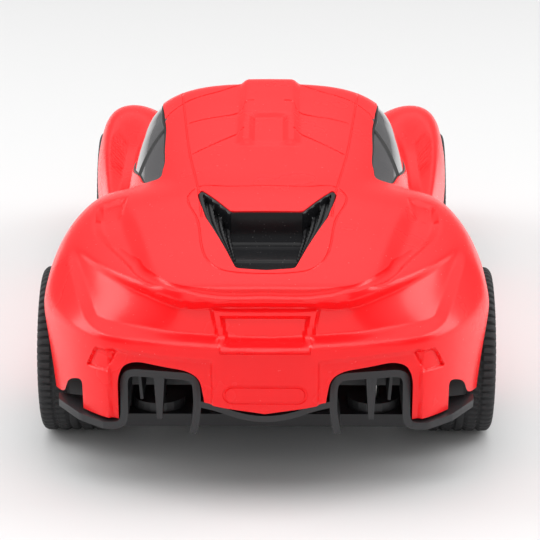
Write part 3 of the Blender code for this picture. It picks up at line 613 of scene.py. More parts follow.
def body_block(name, counts, inset=0.0):
    """Return the body as one closed block with a flat underside, its surface moved inwards by the inset."""
    unit, quads = shell_grid(counts)
    core = CORE_LOW + (CORE_HIGH - CORE_LOW) * (unit + 1) / 2
    ray = unit * REACH
    ray[:, 2] = (unit[:, 2] + 1) / 2 * REACH[2]
    points = surface_points(core, core + ray)
    low = unit[:, 2] < -0.999
    if inset:
        normals = surface_normals(points, 0.3)
        normals[low, 2] = 0.0
        points = points - inset * normals
        points[low, 2] -= 1.0
    mesh = bpy.data.meshes.new(name)
    mesh.from_pydata((points * MM).tolist(), [], quads.tolist())
    shape = bmesh.new()
    shape.from_mesh(mesh)
    rim = [edge for edge in shape.edges if edge.is_boundary]
    bmesh.ops.contextual_create(shape, geom=rim)
    bmesh.ops.recalc_face_normals(shape, faces=shape.faces)
    shape.to_mesh(mesh)
    shape.free()
    return new_piece(name, mesh)


def along_axis(points, axis, start, end):
    """Surface points found along an axis, from start to end, at flat places."""
    flat = np.array(points, float)
    found = surface_points(np.insert(flat, axis, start, axis=1), np.insert(flat, axis, end, axis=1))
    return [tuple(point) for point in found]


def on_top(points):
    """Points of the upper surface above (x, y) places."""
    return along_axis(points, 2, 12.0, 60.0)


def on_tail(points):
    """Points of the tail behind (x, z) places."""
    return along_axis(points, 1, 40.0, 90.0)


def on_side(points):
    """Points of the left flank beside (y, z) places."""
    return along_axis(points, 0, 8.0, 45.0)


def both_sides(paths):
    """Paths with their mirror images."""
    return paths + [flipped(path) for path in paths]


# ---------------------------------------------------------------- finishes


def red_finish():
    """Glossy moulded red with faint flow marks, dust specks and a slightly uneven gloss."""
    finish = Finish("moulded_red")
    red = colours().red
    cloud = finish.noise(120.0, 3.0)
    speck = finish.noise(2600.0, 1.0).step(0.76, 0.83)
    tint = finish.mix(cloud, rgba(red, 0.96), rgba(red, 1.04))
    tint = finish.mix(speck * 0.10, tint, (0.9, 0.5, 0.5, 1.0))
    ripple = finish.noise(420.0, 2.0)
    grain = finish.noise(5200.0, 2.0)
    finish.set(
        Base_Color=tint, Roughness=0.23 + 0.07 * cloud + 0.2 * speck,
        Normal=finish.bump(ripple + 0.15 * grain, 0.25, 0.00006),
        IOR=1.5, Specular_IOR_Level=0.3, Coat_Weight=0.06, Coat_Roughness=0.08)
    return finish


def trim_finish(name="trim_black", colour=None, rough=0.42):
    """Matt moulded plastic with a fine spark-eroded texture."""
    finish = Finish(name)
    colour = colour or colours().trim
    grain = finish.noise(6500.0, 3.0, 0.6)
    cloud = finish.noise(160.0, 2.0)
    finish.set(
        Base_Color=finish.mix(grain, rgba(colour, 0.8), rgba(colour, 1.35)),
        Roughness=rough - 0.05 + 0.1 * cloud + 0.08 * grain, Normal=finish.bump(grain, 0.35, 0.00004))
    return finish


def vent_finish():
    """Glossy black with soft mould marks and a little dust."""
    finish = Finish("vent_black")
    dust = finish.noise(3800.0, 1.0).step(0.74, 0.8)
    cloud = finish.noise(500.0, 2.0)
    colour = colours().vent
    finish.set(Base_Color=finish.mix(dust * 0.35, rgba(colour), (0.4, 0.38, 0.36, 1.0)),
               Roughness=0.13 + 0.12 * cloud + 0.3 * dust, Normal=finish.bump(cloud, 0.15, 0.00005),
               Specular_IOR_Level=0.28)
    return finish


def window_finish():
    """Polished smoky moulding with a faint haze."""
    finish = Finish("window_smoke")
    haze = finish.noise(300.0, 3.0)
    colour = colours().glass
    finish.set(Base_Color=finish.mix(haze, rgba(colour, 0.85), rgba(colour, 1.2)),
               Roughness=0.07 + 0.08 * haze, Coat_Weight=0.6, Coat_Roughness=0.04)
    return finish


def rubber_finish():
    """Matt rubber, greyer where it is scuffed."""
    finish = Finish("tyre_rubber")
    scuff = finish.noise(900.0, 4.0, 0.6)
    grain = finish.noise(7000.0, 2.0)
    colour = colours().rubber
    finish.set(Base_Color=finish.mix(scuff, rgba(colour, 0.7), rgba(colour, 1.9)),
               Roughness=0.62 + 0.2 * scuff, Normal=finish.bump(grain, 0.4, 0.00005))
    return finish


def rim_finish():
    """Silver-coated plastic with fine flakes."""
    finish = Finish("rim_silver")
    flake = finish.noise(9000.0, 1.0)
    colour = colours().rim
    finish.set(Base_Color=finish.mix(flake, rgba(colour, 0.85), rgba(colour, 1.15)), Metallic=0.85,
               Roughness=0.26 + 0.12 * flake, Coat_Weight=0.3, Coat_Roughness=0.1)
    return finish


def steel_finish(name, colour, stretch, rough=0.24):
    """Drawn steel with fine lines along one axis."""
    finish = Finish(name)
    scaled = finish.add("ShaderNodeMapping", {}, {"Vector": finish.place(), "Scale": stretch})
    lines = finish.add("ShaderNodeTexNoise", {}, {"Vector": scaled, "Scale": 1.0, "Detail": 3.0})
    finish.set(Base_Color=finish.mix(lines, rgba(colour, 0.8), rgba(colour, 1.1)), Metallic=1.0,
               Roughness=rough - 0.06 + 0.14 * lines, Normal=finish.bump(lines, 0.2, 0.00003))
    return finish


def acetal_finish():
    """Milky gear plastic."""
    finish = Finish("gear_acetal")
    cloud = finish.noise(1500.0, 3.0)
    finish.set(Base_Color=finish.mix(cloud, (0.74, 0.73, 0.68, 1.0), (0.84, 0.83, 0.79, 1.0)),
               Roughness=0.34 + 0.1 * cloud, Normal=finish.bump(cloud, 0.15, 0.00004),
               Subsurface_Weight=0.15, Subsurface_Scale=0.3)
    return finish


def lens_finish():
    """Clear lamp plastic with fine pillow optics."""
    finish = Finish("lamp_clear")
    cells = finish.add("ShaderNodeTexVoronoi", {}, {"Vector": finish.place(), "Scale": 900.0})
    finish.set(Base_Color=(0.93, 0.95, 0.97, 1.0), Roughness=0.05 + 0.05 * cells, Alpha=0.55 + 0.15 * cells,
               Normal=finish.bump(cells, 0.3, 0.0001), IOR=1.49, Coat_Weight=0.5)
    return finish


# ---------------------------------------------------------------- red shell

SIDE_WINDOW = [(-26.0, 28.6), (-17.0, 32.6), (-9.0, 34.7), (0.0, 35.2), (8.0, 35.0), (18.0, 34.1),
               (26.0, 33.2), (29.2, 32.5), (28.0, 31.8), (18.0, 30.1), (8.0, 28.2), (-8.0, 26.4),
               (-20.0, 26.4)]
WINDSCREEN = [(0.0, -34.0), (10.0, -32.6), (16.6, -28.0), (14.6, -19.0), (12.6, -13.6), (6.0, -12.0),
              (0.0, -11.6)]
VENT = [(0.0, 48.3), (4.9, 48.3), (9.2, 40.2), (9.8, 41.8), (8.4, 50.0), (3.9, 65.6), (0.0, 66.2)]
LENS = [(18.5, -70.2), (22.0, -68.6), (26.4, -60.0), (25.2, -55.0), (23.4, -58.0), (20.0, -65.4)]
TAIL_ARCH = [(7.9, 0.0), (7.9, 13.8), (8.5, 17.2), (10.2, 18.3), (16.8, 19.1), (18.6, 18.4), (19.4, 16.4),
             (19.4, 0.0)]
TAIL_NOTCH = [(24.4, 0.0), (24.4, 15.0), (26.6, 13.6), (27.4, 10.6), (40.0, 10.6), (40.0, 0.0)]
TAIL_FLANGE = [(6.7, 0.0), (6.7, 14.4), (7.5, 18.3), (10.0, 19.5), (17.0, 20.3), (19.8, 19.2), (20.7, 16.6),
               (20.7, 0.0)]
TAIL_MIDDLE = [(0.0, 12.4), (5.0, 13.2), (8.4, 13.9), (8.4, 0.0), (0.0, 0.0)]
TOOTH_Z = 10.3
TAIL_CUT_Y = 53.0
ARCH_CLEARANCE = 1.4
REAR_ARCH_CLEARANCE = 1.5
ARCH_INNER_X = 18.0

# Panel grooves of the roof, deck and doors as (x, y) places on the upper surface.
ROOF_GROOVES = [
    [(4.7, -8.0), (7.2, -4.5), (13.4, -1.0), (15.6, 2.0), (16.5, 6.6)],
    [(2.3, 4.0), (3.1, 4.0), (4.1, 7.0), (12.2, 10.0)],
    [(3.7, 16.0), (11.1, 24.0)],
    [(14.2, -11.0), (12.9, 7.0), (11.6, 23.0), (9.9, 38.0), (8.9, 50.0)],
]
VENT_RIM = [(0.0, 39.0), (5.4, 39.2), (9.4, 38.4), (10.8, 41.4), (9.5, 50.5), (4.9, 66.4), (0.0, 67.1)]
# Crease that runs from one haunch round the end of the deck, as far as the middle.
DECK_CREASE = [(22.3, 51.8, 29.9), (19.4, 56.8, 29.3), (15.9, 63.7, 28.9), (14.0, 67.1, 29.0),
               (12.1, 69.0, 28.8), (9.7, 70.0, 28.6), (6.5, 70.8, 28.6), (0.0, 71.0, 28.7)]
CREASE_RADIUS = 1.0
CREASE_DEPTH = 0.3
CREASE_FADE = 7.0
CREASE_STEP = 0.5


def outline_points(outline, closed=True):
    """An outline's corners rounded into a smooth closed path."""
    return smoothed(outline, 0.35, closed)


def rounded(outline, radius):
    """An outline with each corner replaced by a short curve."""
    points = np.array(outline, float)
    path = []
    for before, corner, after in zip(np.roll(points, 1, 0), points, np.roll(points, -1, 0)):
        ends = []
        for other in (before, after):
            way = other - corner
            length = np.linalg.norm(way)
            ends.append(corner + way / length * min(radius, 0.45 * length))
        for t in np.linspace(0.0, 1.0, 6):
            path.append(tuple((1 - t) ** 2 * ends[0] + 2 * t * (1 - t) * corner + t * t * ends[1]))
    return path


def shell_cutters():
    """Tools for the openings of the shell."""
    tools = []
    for axle, clearance in (("rear", REAR_ARCH_CLEARANCE), ("front", ARCH_CLEARANCE)):
        middle = hub(axle + "_axle")
        radius = tyre_radius(axle) + clearance
        for x in (ARCH_INNER_X, -ARCH_INNER_X - 25.0):
            tools.append(bar("arch_cut", "X", (x, middle[1], middle[2]), 25.0, radius, 128))
    window = outline_points(SIDE_WINDOW)
    tools.append(prism("window_cut", "X", window, 10.0, 32.0))
    tools.append(prism("window_cut", "X", window, -32.0, -10.0))
    tools.append(prism("windscreen_cut", "Z", rounded(mirrored(WINDSCREEN), 2.0), 20.0, 45.0))
    tools.append(prism("vent_cut", "Z", rounded(mirrored(VENT), 0.6), 20.0, 45.0))
    for outline in (LENS, flipped(LENS)):
        tools.append(prism("lamp_cut", "Z", rounded(outline, 0.8), 14.0, 30.0))
    for outline in (TAIL_ARCH, flipped(TAIL_ARCH), TAIL_NOTCH, flipped(TAIL_NOTCH)):
        tools.append(prism("tail_cut", "Y", rounded(outline, 1.2), TAIL_CUT_Y, 80.0))
    tools.append(prism("tail_cut", "Y", mirrored(TAIL_MIDDLE), TAIL_CUT_Y, 80.0))
    tools.append(block("tooth_cut", (-40.0, TAIL_CUT_Y, 0.0), (40.0, 80.0, TOOTH_Z)))
    return tools


def pill_path():
    """Racetrack groove low in the middle of the bumper."""
    middle, half, radius = 15.2, 4.2, 1.15
    ends = []
    for sign, start in ((1, -math.pi / 2), (-1, math.pi / 2)):
        for step in range(13):
            angle = start + math.pi * step / 12
            ends.append((sign * half + radius * math.cos(angle), middle + radius * math.sin(angle)))
    path = []
    for (x0, z0), (x1, z1) in zip(ends, ends[1:] + ends[:1]):
        count = max(int(math.hypot(x1 - x0, z1 - z0) / 0.5), 1)
        path += [(x0 + (x1 - x0) * i / count, z0 + (z1 - z0) * i / count) for i in range(count)]
    return path


def crease_path():
    """Path of the crease, just outside the surface, and further out near its ends so that it fades."""
    path = np.array(smoothed(DECK_CREASE + flipped(DECK_CREASE)[1:], CREASE_STEP))
    diagonal = np.array([0.0, 6.0, 6.0])
    path = surface_points(path - diagonal, path + diagonal)
    place = np.arange(len(path)) * CREASE_STEP
    fade = np.clip(np.minimum(place, place[::-1]) / CREASE_FADE, 0.0, 1.0)[:, None]
    return sunk(path, CREASE_DEPTH * (1.1 * fade - 0.1) - CREASE_RADIUS)


def groove_tools():
    """Fine round bars along the panel lines, in groups that don't cross."""
    radius = sizes().groove / MM
    across = [on_top(smoothed(line, 0.5)) for line in ROOF_GROOVES[:3]]
    along = [on_top(smoothed(ROOF_GROOVES[3], 0.5))]
    rim = on_top(smoothed(mirrored(VENT_RIM), 0.4, closed=True))
    pill = on_tail(pill_path())
    return [
        tube("crease_cut", [crease_path()], CREASE_RADIUS, sides=6),
        tube("groove_cut", both_sides(across), radius),
        tube("groove_cut", both_sides(along), radius * 0.8),
        tube("groove_cut", [rim], radius * 0.8, closed=True),
        tube("groove_cut", [pill], radius, closed=True),
    ]


class CAR_OT_shell(bpy.types.Operator):
    """Build the red moulded shell"""

    bl_idname = "car.shell"
    bl_label = "Body shell"

    def execute(self, context):
        size = sizes()
        shell = body_block("body_skin", (size.across, size.along, size.upward))
        hollow = body_block("shell_hollow", (36, 84, 12), size.wall / MM)
        for outline in (TAIL_FLANGE, flipped(TAIL_FLANGE)):
            combine(hollow, [prism("flange", "Y", outline, 60.0, 80.0)])
        combine(shell, [hollow])
        combine(shell, shell_cutters())
        combine(shell, groove_tools())
        soften(shell, 24)
        paint(shell, red_finish())
        declare(shell, BODY, "body_red", "body_shell")
        return {"FINISHED"}


# ---------------------------------------------------------------- windows, lamps and deck vent


def shrunk(outline, gap):
    """An outline pulled in towards its middle by about a gap."""
    middle = np.mean(outline, axis=0)
    moved = []
    for point in np.array(outline, float):
        way = point - middle
        moved.append(tuple(point - gap * way / np.linalg.norm(way)))
    return moved


def skin_patch(name, inset, thickness, limits):
    """A piece of moulding that follows the body surface inside a tool's shape."""
    patch = body_block(name, (84, 210, 30), inset)
    combine(patch, [limits], "INTERSECT")
    combine(patch, [body_block(name + "_hollow", (36, 84, 12), inset + thickness)])
    return patch


def sunk(points, depth):
    """Surface points moved under the surface."""
    points = np.array(points)
    return [tuple(point) for point in points - depth * surface_normals(points, 0.2)]


PILLAR = [(7.4, 34.9), (11.0, 33.5), (14.6, 31.9), (17.8, 30.1)]


class CAR_OT_windows(bpy.types.Operator):
    """Build the dark window panes and their seals"""

    bl_idname = "car.windows"
    bl_label = "Windows"

    def execute(self, context):
        glass, seal = window_finish(), trim_finish("window_seal", (0.004, 0.004, 0.004), 0.3)
        side = shrunk(outline_points(SIDE_WINDOW), 0.06)
        screen = shrunk(rounded(mirrored(WINDSCREEN), 2.0), 0.06)
        panes = (
            ("window_left", prism("limits", "X", side, 9.0, 33.0)),
            ("window_right", prism("limits", "X", side, -33.0, -9.0)),
            ("windscreen", prism("limits", "Z", screen, 21.0, 46.0)),
        )
        for name, limits in panes:
            pane = skin_patch(name, 0.35, 1.2, limits)
            complete(pane, 40, glass, BODY, "dark_glass", "window_insert")
        edge = sunk(on_side(shrunk(outline_points(SIDE_WINDOW), 0.3)), 0.45)
        pillar = sunk(on_side(smoothed(PILLAR, 0.4)), 0.42)
        rubber = tube("window_seals", [edge, flipped(edge)], 0.3, closed=True)
        complete(rubber, 60, seal, BODY, "dark_glass")
        strip = tube("window_pillars", [pillar, flipped(pillar)], 0.34)
        complete(strip, 60, seal, BODY, "dark_glass")
        return {"FINISHED"}


class CAR_OT_lamps(bpy.types.Operator):
    """Build the clear headlamp covers and the bowls behind them"""

    bl_idname = "car.lamps"
    bl_label = "Headlamps"

    def execute(self, context):
        clear, silver = lens_finish(), rim_finish()
        for word, outline in (("left", LENS), ("right", flipped(LENS))):
            edge = shrunk(rounded(outline, 0.8), 0.12)
            cover = skin_patch("lamp_cover_" + word, 0.1, 0.6, prism("limits", "Z", edge, 14.1, 30.0))
            complete(cover, 40, clear, BODY, "clear_lens", "headlight_" + word)
            bowl = skin_patch("lamp_bowl_" + word, 0.9, 0.4, prism("limits", "Z", edge, 14.1, 30.0))
            complete(bowl, 40, silver, BODY, "clear_lens")
        return {"FINISHED"}


VENT_BOTTOM_Z = 28.2
# The lip across the tub's front: its half-width and place, and how its two ends slant forwards.
VENT_LIP_X = 4.9
VENT_LIP_Y = 48.3
VENT_LIP_SLANT = 1.884
VENT_LIP_STRETCH = 2.13
VENT_HALF_WIDTH = through([(39.0, 9.8), (41.0, 9.7), (50.0, 8.3), (58.0, 6.1), (65.6, 3.9), (67.0, 3.6)])
SLAT_PITCH = 1.2
SLAT_DROP = 0.75


def vent_height(x, y):
    """Height of the vent tub: slatted banks down each side and a stepped floor between them."""
    deck = top_height(x, y)
    inside = VENT_HALF_WIDTH(y) - np.abs(x)
    drop = np.full_like(deck, 0.55)
    narrowing = np.clip(1.2 - (y - 40.0) / 24.0, 0.2, 1.2)
    for slat in range(4):
        start = (0.6 + slat * SLAT_PITCH) * narrowing
        edge = band(inside, start - 0.4 * narrowing, start - 0.05, 0.35 * narrowing)
        drop = drop + SLAT_DROP * ease(inside, start, start + 0.18) - 0.25 * edge
    floor = 30.0 - 0.55 * ease(y, 52.0, 52.25) - 0.45 * ease(y, 57.6, 57.85) - 0.05 * (y - 48.0)
    behind = y - VENT_LIP_Y
    slanted = (behind + VENT_LIP_SLANT * (np.abs(x) - VENT_LIP_X)) / VENT_LIP_STRETCH
    behind_lip = np.where(np.abs(x) < VENT_LIP_X, behind, slanted)
    lip = deck - 0.3 - 8.0 * ease(behind_lip, 0.3, 0.8)
    return np.maximum(np.maximum(deck - drop, lip), np.maximum(floor, VENT_BOTTOM_Z + 0.4))


def relief(name, low, high, cells, height, bottom):
    """Return a block whose top follows a height over (x, y)."""
    shape = bmesh.new()
    bmesh.ops.create_grid(shape, x_segments=cells[0], y_segments=cells[1], size=1.0)
    unit = np.array([vert.co for vert in shape.verts])[:, :2]
    flat = (np.array(low) + np.array(high)) / 2 + unit * (np.array(high) - np.array(low)) / 2
    for vert, (x, y), z in zip(shape.verts, flat, height(flat[:, 0], flat[:, 1])):
        vert.co = Vector((x, y, z)) * MM
    rim = [edge for edge in shape.edges if edge.is_boundary]
    walls = bmesh.ops.extrude_edge_only(shape, edges=rim)["geom"]
    for vert in (item for item in walls if isinstance(item, bmesh.types.BMVert)):
        vert.co.z = bottom * MM
    bmesh.ops.contextual_create(shape, geom=[edge for edge in shape.edges if edge.is_boundary])
    bmesh.ops.recalc_face_normals(shape, faces=shape.faces)
    return finished(name, shape)


class CAR_OT_vent(bpy.types.Operator):
    """Build the glossy louvred tub in the rear deck"""

    bl_idname = "car.vent"
    bl_label = "Deck vent"

    def execute(self, context):
        tub = relief("vent_tub", (-10.2, 39.4), (10.2, 66.8), (150, 200), vent_height, VENT_BOTTOM_Z)
        outline = shrunk(rounded(mirrored(VENT), 0.6), 0.05)
        combine(tub, [prism("limits", "Z", outline, VENT_BOTTOM_Z - 1.0, 45.0)], "INTERSECT")
        complete(tub, 35, vent_finish(), BODY, "gloss_black", "engine_vent_insert")
        return {"FINISHED"}


# ---------------------------------------------------------------- wheels


def turns(count):
    """Angles spaced evenly round a circle, as a column."""
    return 2 * math.pi * np.arange(count)[:, None] / count


def ring_mesh(name, x, radii, centre):
    """A ring round the X axis: x is its profile's places, and each row of radii goes with one angle."""
    count = len(radii)
    y = centre[1] + radii * np.cos(turns(count))
    z = centre[2] + radii * np.sin(turns(count))
    points = np.stack([np.broadcast_to(x, radii.shape), y, z], axis=-1).reshape(-1, 3)
    quads = grid_quads(count, len(x), lambda u, v: (u % count) * len(x) + v % len(x))
    mesh = bpy.data.meshes.new(name)
    mesh.from_pydata((points * MM).tolist(), [], quads.tolist())
    return new_piece(name, weld(mesh))


BEAD_GAP = 0.15
TREAD_LIMIT = 1.3


def tyre_profile(low, high, radius, bore):
    """Cross-section of a tyre as (x, radius): tread, rounded shoulders, dished walls and beads."""
    shoulder = 1.0
    tread = [(x, radius) for x in np.linspace(low + shoulder, high - shoulder, 30)]
    turn = np.linspace(0, math.pi / 2, 7)[1:]
    left = [(low + shoulder - shoulder * math.sin(a), radius - shoulder * (1 - math.cos(a))) for a in turn]
    right = [(high - shoulder + shoulder * math.sin(a), radius - shoulder * (1 - math.cos(a))) for a in turn]
    depth = radius - shoulder - bore
    wall = [(high - 0.35 * math.sin(math.pi * t), bore + depth * (1 - t)) for t in np.linspace(0.1, 0.85, 7)]
    inner = [(low + 0.35 * math.sin(math.pi * t), bore + depth * t) for t in np.linspace(0.15, 0.9, 7)]
    beads = [(high - 0.9, bore), (low + 0.9, bore)]
    return tread + right + wall + beads + inner + left[::-1]


def treaded(x, radius, blocks, depth):
    """Radii of a tyre at each angle: slanted cross grooves and two rings are cut into its tread."""
    place = np.abs(x - (x.max() + x.min()) / 2) / ((x.max() - x.min()) / 2)
    outer = radius > radius.max() - TREAD_LIMIT
    wave = np.cos(blocks * turns(blocks * 7) + 2.2 * place)
    cross = ease(wave, 0.35, 0.75) * ease(place, 0.12, 0.2)
    rings = band(place, 0.13, 0.16, 0.06) + band(place, 0.52, 0.55, 0.06)
    return radius - outer * depth * np.clip(np.maximum(cross, rings), 0.0, 1.0)


class CAR_OT_tyres(bpy.types.Operator):
    """Build the four ribbed tyres"""

    bl_idname = "car.tyres"
    bl_label = "Tyres"

    def execute(self, context):
        rubber = rubber_finish()
        pitch, depth = sizes().tread_pitch / MM, sizes().tread_depth / MM
        for axle, side, _, body in WHEELS:
            node = f"tyre_{axle}_{side}"
            low, high = corners(node)
            radius = (high[2] - low[2]) / 2
            blocks = round(2 * math.pi * radius / pitch)
            rim = corners(f"rim_{axle}_{side}")
            bore = (rim[1][2] - rim[0][2]) / 2 + BEAD_GAP
            x, plain = np.array(tyre_profile(low[0], high[0], radius, bore)).T
            tyre = ring_mesh("ribbed_" + node, x, treaded(x, plain, blocks, depth), hub(node))
            complete(tyre, 32, rubber, body, "tyre_black", node)
        return {"FINISHED"}


SPOKES = 5


def spoke_outline(angle, inner, outer, centre):
    """A forked spoke as (y, z) places: narrow at the hub and wide at the rim."""
    edge = [(inner, 0.75), (outer * 0.6, 0.6), (outer, 1.5)]
    outline = edge + [(outer * 0.97, 0.62), (outer * 0.66, 0.0), (outer * 0.97, -0.62)]
    outline += [(r, -h) for r, h in reversed(edge)]
    cos, sin = math.cos(angle), math.sin(angle)
    return [(centre[1] + r * cos - h * sin, centre[2] + r * sin + h * cos) for r, h in outline]


class CAR_OT_rims(bpy.types.Operator):
    """Build the four forked-spoke wheels"""

    bl_idname = "car.rims"
    bl_label = "Rims"

    def execute(self, context):
        silver = rim_finish()
        for axle, side, way, body in WHEELS:
            node = f"rim_{axle}_{side}"
            low, high = corners(node)
            centre = hub(node)
            face = high[0] if way > 0 else -low[0]
            back = low[0] if way > 0 else -high[0]
            outer = (high[2] - low[2]) / 2
            barrel = [(face, outer - 0.15), (face, outer - 0.75), (face - 0.5, outer - 1.0),
                      (back + 0.4, outer - 1.2), (back + 0.4, outer)]
            x, radius = np.array(barrel).T
            wheel = ring_mesh("wheel_" + node, way * x, np.tile(radius, (96, 1)), centre)
            spokes = []
            for index in range(SPOKES):
                outline = spoke_outline(2 * math.pi * index / SPOKES, 1.2, outer - 0.8, centre)
                ends = sorted((way * (face - 0.9), way * (face - 2.3)))
                spokes.append(prism("spoke", "X", outline, *ends))
            cap = way * (face - 0.6)
            start = min(way * (face - 4.6), cap)
            spokes.append(bar("hub_cap", "X", (start, centre[1], centre[2]), 4.0, 2.0))
            combine(wheel, spokes, "UNION")
            combine(wheel, [bar("cap_ring", "X", (cap - 0.25, centre[1], centre[2]), 0.5, 1.2)])
            bevel(wheel, 0.16)
            complete(settle(wheel), 40, silver, body, "rim_silver", node)
        return {"FINISHED"}


# ---------------------------------------------------------------- floor pan, diffuser and metal parts


def finish_node(node, finish, width, angle=30.0):
    """Round a frame part's edges and give it its finish."""
    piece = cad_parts[node]
    if width:
        bevel(piece, width, angle)
    return paint(soften(piece, 40), finish)


LINER_TOP_GAP = 0.35
LINER_LOW_Z = 7.2
LINER_X = (18.6, 27.0)


class CAR_OT_liners(bpy.types.Operator):
    """Build the dark liners of the four wheel arches"""

    bl_idname = "car.liners"
    bl_label = "Wheel arch liners"

    def execute(self, context):
        trim = trim_finish("liner_black", rough=0.5)
        low, high = LINER_X
        for axle, side, way, _ in WHEELS:
            y, z = hub(axle + "_axle")[1:]
            radius = tyre_radius(axle) + ARCH_CLEARANCE - LINER_TOP_GAP
            start = min(way * low, way * high)
            tub = bar(f"arch_liner_{axle}_{side}", "X", (start, y, z), high - low, radius, 96)
            room = bar("room", "X", (start + 0.8 * way, y, z), high - low, radius - 0.5, 96)
            bore = bar("bore", "X", (min(way * 10.0, way * 30.0), y, z), 20.0, 3.2, 48)
            floor = block("floor", (-40.0, y - 30.0, -20.0), (40.0, y + 30.0, LINER_LOW_Z))
            combine(tub, [room, bore, floor])
            bevel(tub, 0.1)
            complete(settle(tub), 40, trim, BODY, "matt_black")
        return {"FINISHED"}


class CAR_OT_underside(bpy.types.Operator):
    """Finish the floor pan and the axle keeper"""

    bl_idname = "car.underside"
    bl_label = "Floor pan"

    def execute(self, context):
        trim = trim_finish()
        for node in ("chassis_base", "front_axle_keeper"):
            finish_node(node, trim, 0.2)
        return {"FINISHED"}


ARCH_PATH = [(28.2, 9.9), (24.5, 9.4), (20.6, 9.2), (18.6, 9.8), (18.6, 17.1), (9.1, 16.6), (8.9, 12.0),
             (9.5, 8.7)]
LIP_PATH = [(8.9, 12.9), (6.5, 12.4), (4.0, 11.6), (2.0, 11.2), (0.0, 11.1)]
CENTRE_FIN = [(13.2, 17.3), (14.7, 17.4), (14.3, 10.6), (13.6, 10.6)]
SIDE_VANE = [(16.6, 17.2), (17.0, 17.2), (16.6, 12.4), (16.2, 12.4)]
TUNNEL_END = [(8.8, 12.0), (8.8, 16.9), (18.8, 17.4), (18.8, 12.0)]
DIFFUSER_PLAN = [(0.0, 70.5), (9.0, 69.6), (18.0, 69.0), (21.5, 68.0), (25.0, 65.2), (28.0, 61.0),
                 (28.4, 57.0)]


def curved(path, radius):
    """An open path with its inner corners rounded."""
    loop = rounded(path, radius)
    return [tuple(path[0])] + loop[6:-6] + [tuple(path[-1])]


def ribbon(path, thickness):
    """Outline of a strip of even thickness that follows a path."""
    points = np.array(path, float)
    points = points[np.concatenate([[True], np.linalg.norm(np.diff(points, axis=0), axis=1) > 1e-6])]
    along = np.gradient(points, axis=0)
    across = np.stack([-along[:, 1], along[:, 0]], axis=1)
    across /= np.linalg.norm(across, axis=1, keepdims=True)
    left = points + across * thickness / 2
    right = points - across * thickness / 2
    return [tuple(point) for point in np.concatenate([left, right[::-1]])]


class CAR_OT_diffuser(bpy.types.Operator):
    """Build the tail diffuser: two arched tunnels with fins, joined by a lip"""

    bl_idname = "car.diffuser"
    bl_label = "Tail diffuser"

    def execute(self, context):
        low, high = 58.6, 70.5
        lip = smoothed(mirrored(LIP_PATH), 0.6)
        piece = prism("tail_diffuser", "Y", ribbon(lip, 0.85), low, high)
        parts = []
        for side in (1, -1):
            arch = [(side * x, z) for x, z in curved(ARCH_PATH, 1.7)]
            parts.append(prism("arch", "Y", ribbon(arch, 1.0), low, high - 0.8))
            for outline, back in ((CENTRE_FIN, 1.4), (SIDE_VANE, 4.0)):
                parts.append(prism("fin", "Y", [(side * x, z) for x, z in outline], low, high - back))
            parts.append(prism("wall", "Y", [(side * x, z) for x, z in TUNNEL_END], low, low + 1.2))
        combine(piece, parts, "UNION")
        combine(piece, [prism("limits", "Z", mirrored(DIFFUSER_PLAN), 0.0, 30.0)], "INTERSECT")
        bevel(piece, 0.14)
        complete(settle(piece), 40, trim_finish("diffuser_black"), BODY, "matt_black", "rear_diffuser")
        return {"FINISHED"}


class CAR_OT_metal(bpy.types.Operator):
    """Finish the axles, pins, screws and mainspring"""

    bl_idname = "car.metal"
    bl_label = "Metal parts"

    def execute(self, context):
        drawn = steel_finish("drawn_steel", (0.62, 0.62, 0.63), (150.0, 4000.0, 4000.0))
        screw = steel_finish("screw_steel", (0.58, 0.57, 0.55), (3000.0, 3000.0, 300.0), 0.3)
        spring = steel_finish("blued_strip", (0.2, 0.24, 0.36), (4000.0, 300.0, 300.0))
        for node in ("front_axle", "rear_axle", "transfer_pin", "clutch_pin"):
            finish_node(node, drawn, 0.12)
        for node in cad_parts:
            if "screw" in node:
                finish_node(node, screw, 0.1)
        finish_node("mainspring", spring, 0.0)
        return {"FINISHED"}


class CAR_OT_motor(bpy.types.Operator):
    """Finish the motor housing and its gears"""

    bl_idname = "car.motor"
    bl_label = "Spring motor"

    def execute(self, context):
        housing = trim_finish("motor_grey", (0.16, 0.17, 0.19), 0.4)
        acetal = acetal_finish()
        for node in ("motor_case", "motor_cover"):
            finish_node(node, housing, 0.25)
        for node in ("axle_pinion", "transfer_gear", "spring_gear", "clutch_gear"):
            finish_node(node, acetal, 0.06, 50.0)
        return {"FINISHED"}


# ---------------------------------------------------------------- stage


def add_light(name, place, size, power):
    """A rectangular soft light aimed at the car, in millimetres."""
    light = bpy.data.lights.new(name, "AREA")
    light.shape = "RECTANGLE"
    light.size, light.size_y = size[0] * MM, size[1] * MM
    light.energy = power
    lamp = new_piece(name, light)
    lamp.location = Vector(place) * MM
    aim = (Vector(LIGHT_TARGET) - Vector(place)).normalized()
    lamp.rotation_euler = aim.to_track_quat("-Z", "Y").to_euler()


# Each light's name, place, size and power.
LIGHTS = [
    ("key", (0.0, 160.0, 620.0), (700.0, 500.0), 2.0),
    ("fill", (0.0, 800.0, 330.0), (1000.0, 500.0), 2.4),
    ("left_box", (600.0, -80.0, 320.0), (300.0, 600.0), 2.3),
    ("right_box", (-600.0, -80.0, 320.0), (300.0, 600.0), 2.3),
]
LIGHT_TARGET = (0.0, 10.0, 15.0)
CAMERA_PLACE = (-3.1, 364.8, 123.3)
CAMERA_AZIMUTH = 180.48
CAMERA_ELEVATION = 17.3
CAMERA_LENS = 159.6
SKY_LOW = 0.25
SKY_HIGH = 1.15
SKY_BEHIND = 0.3


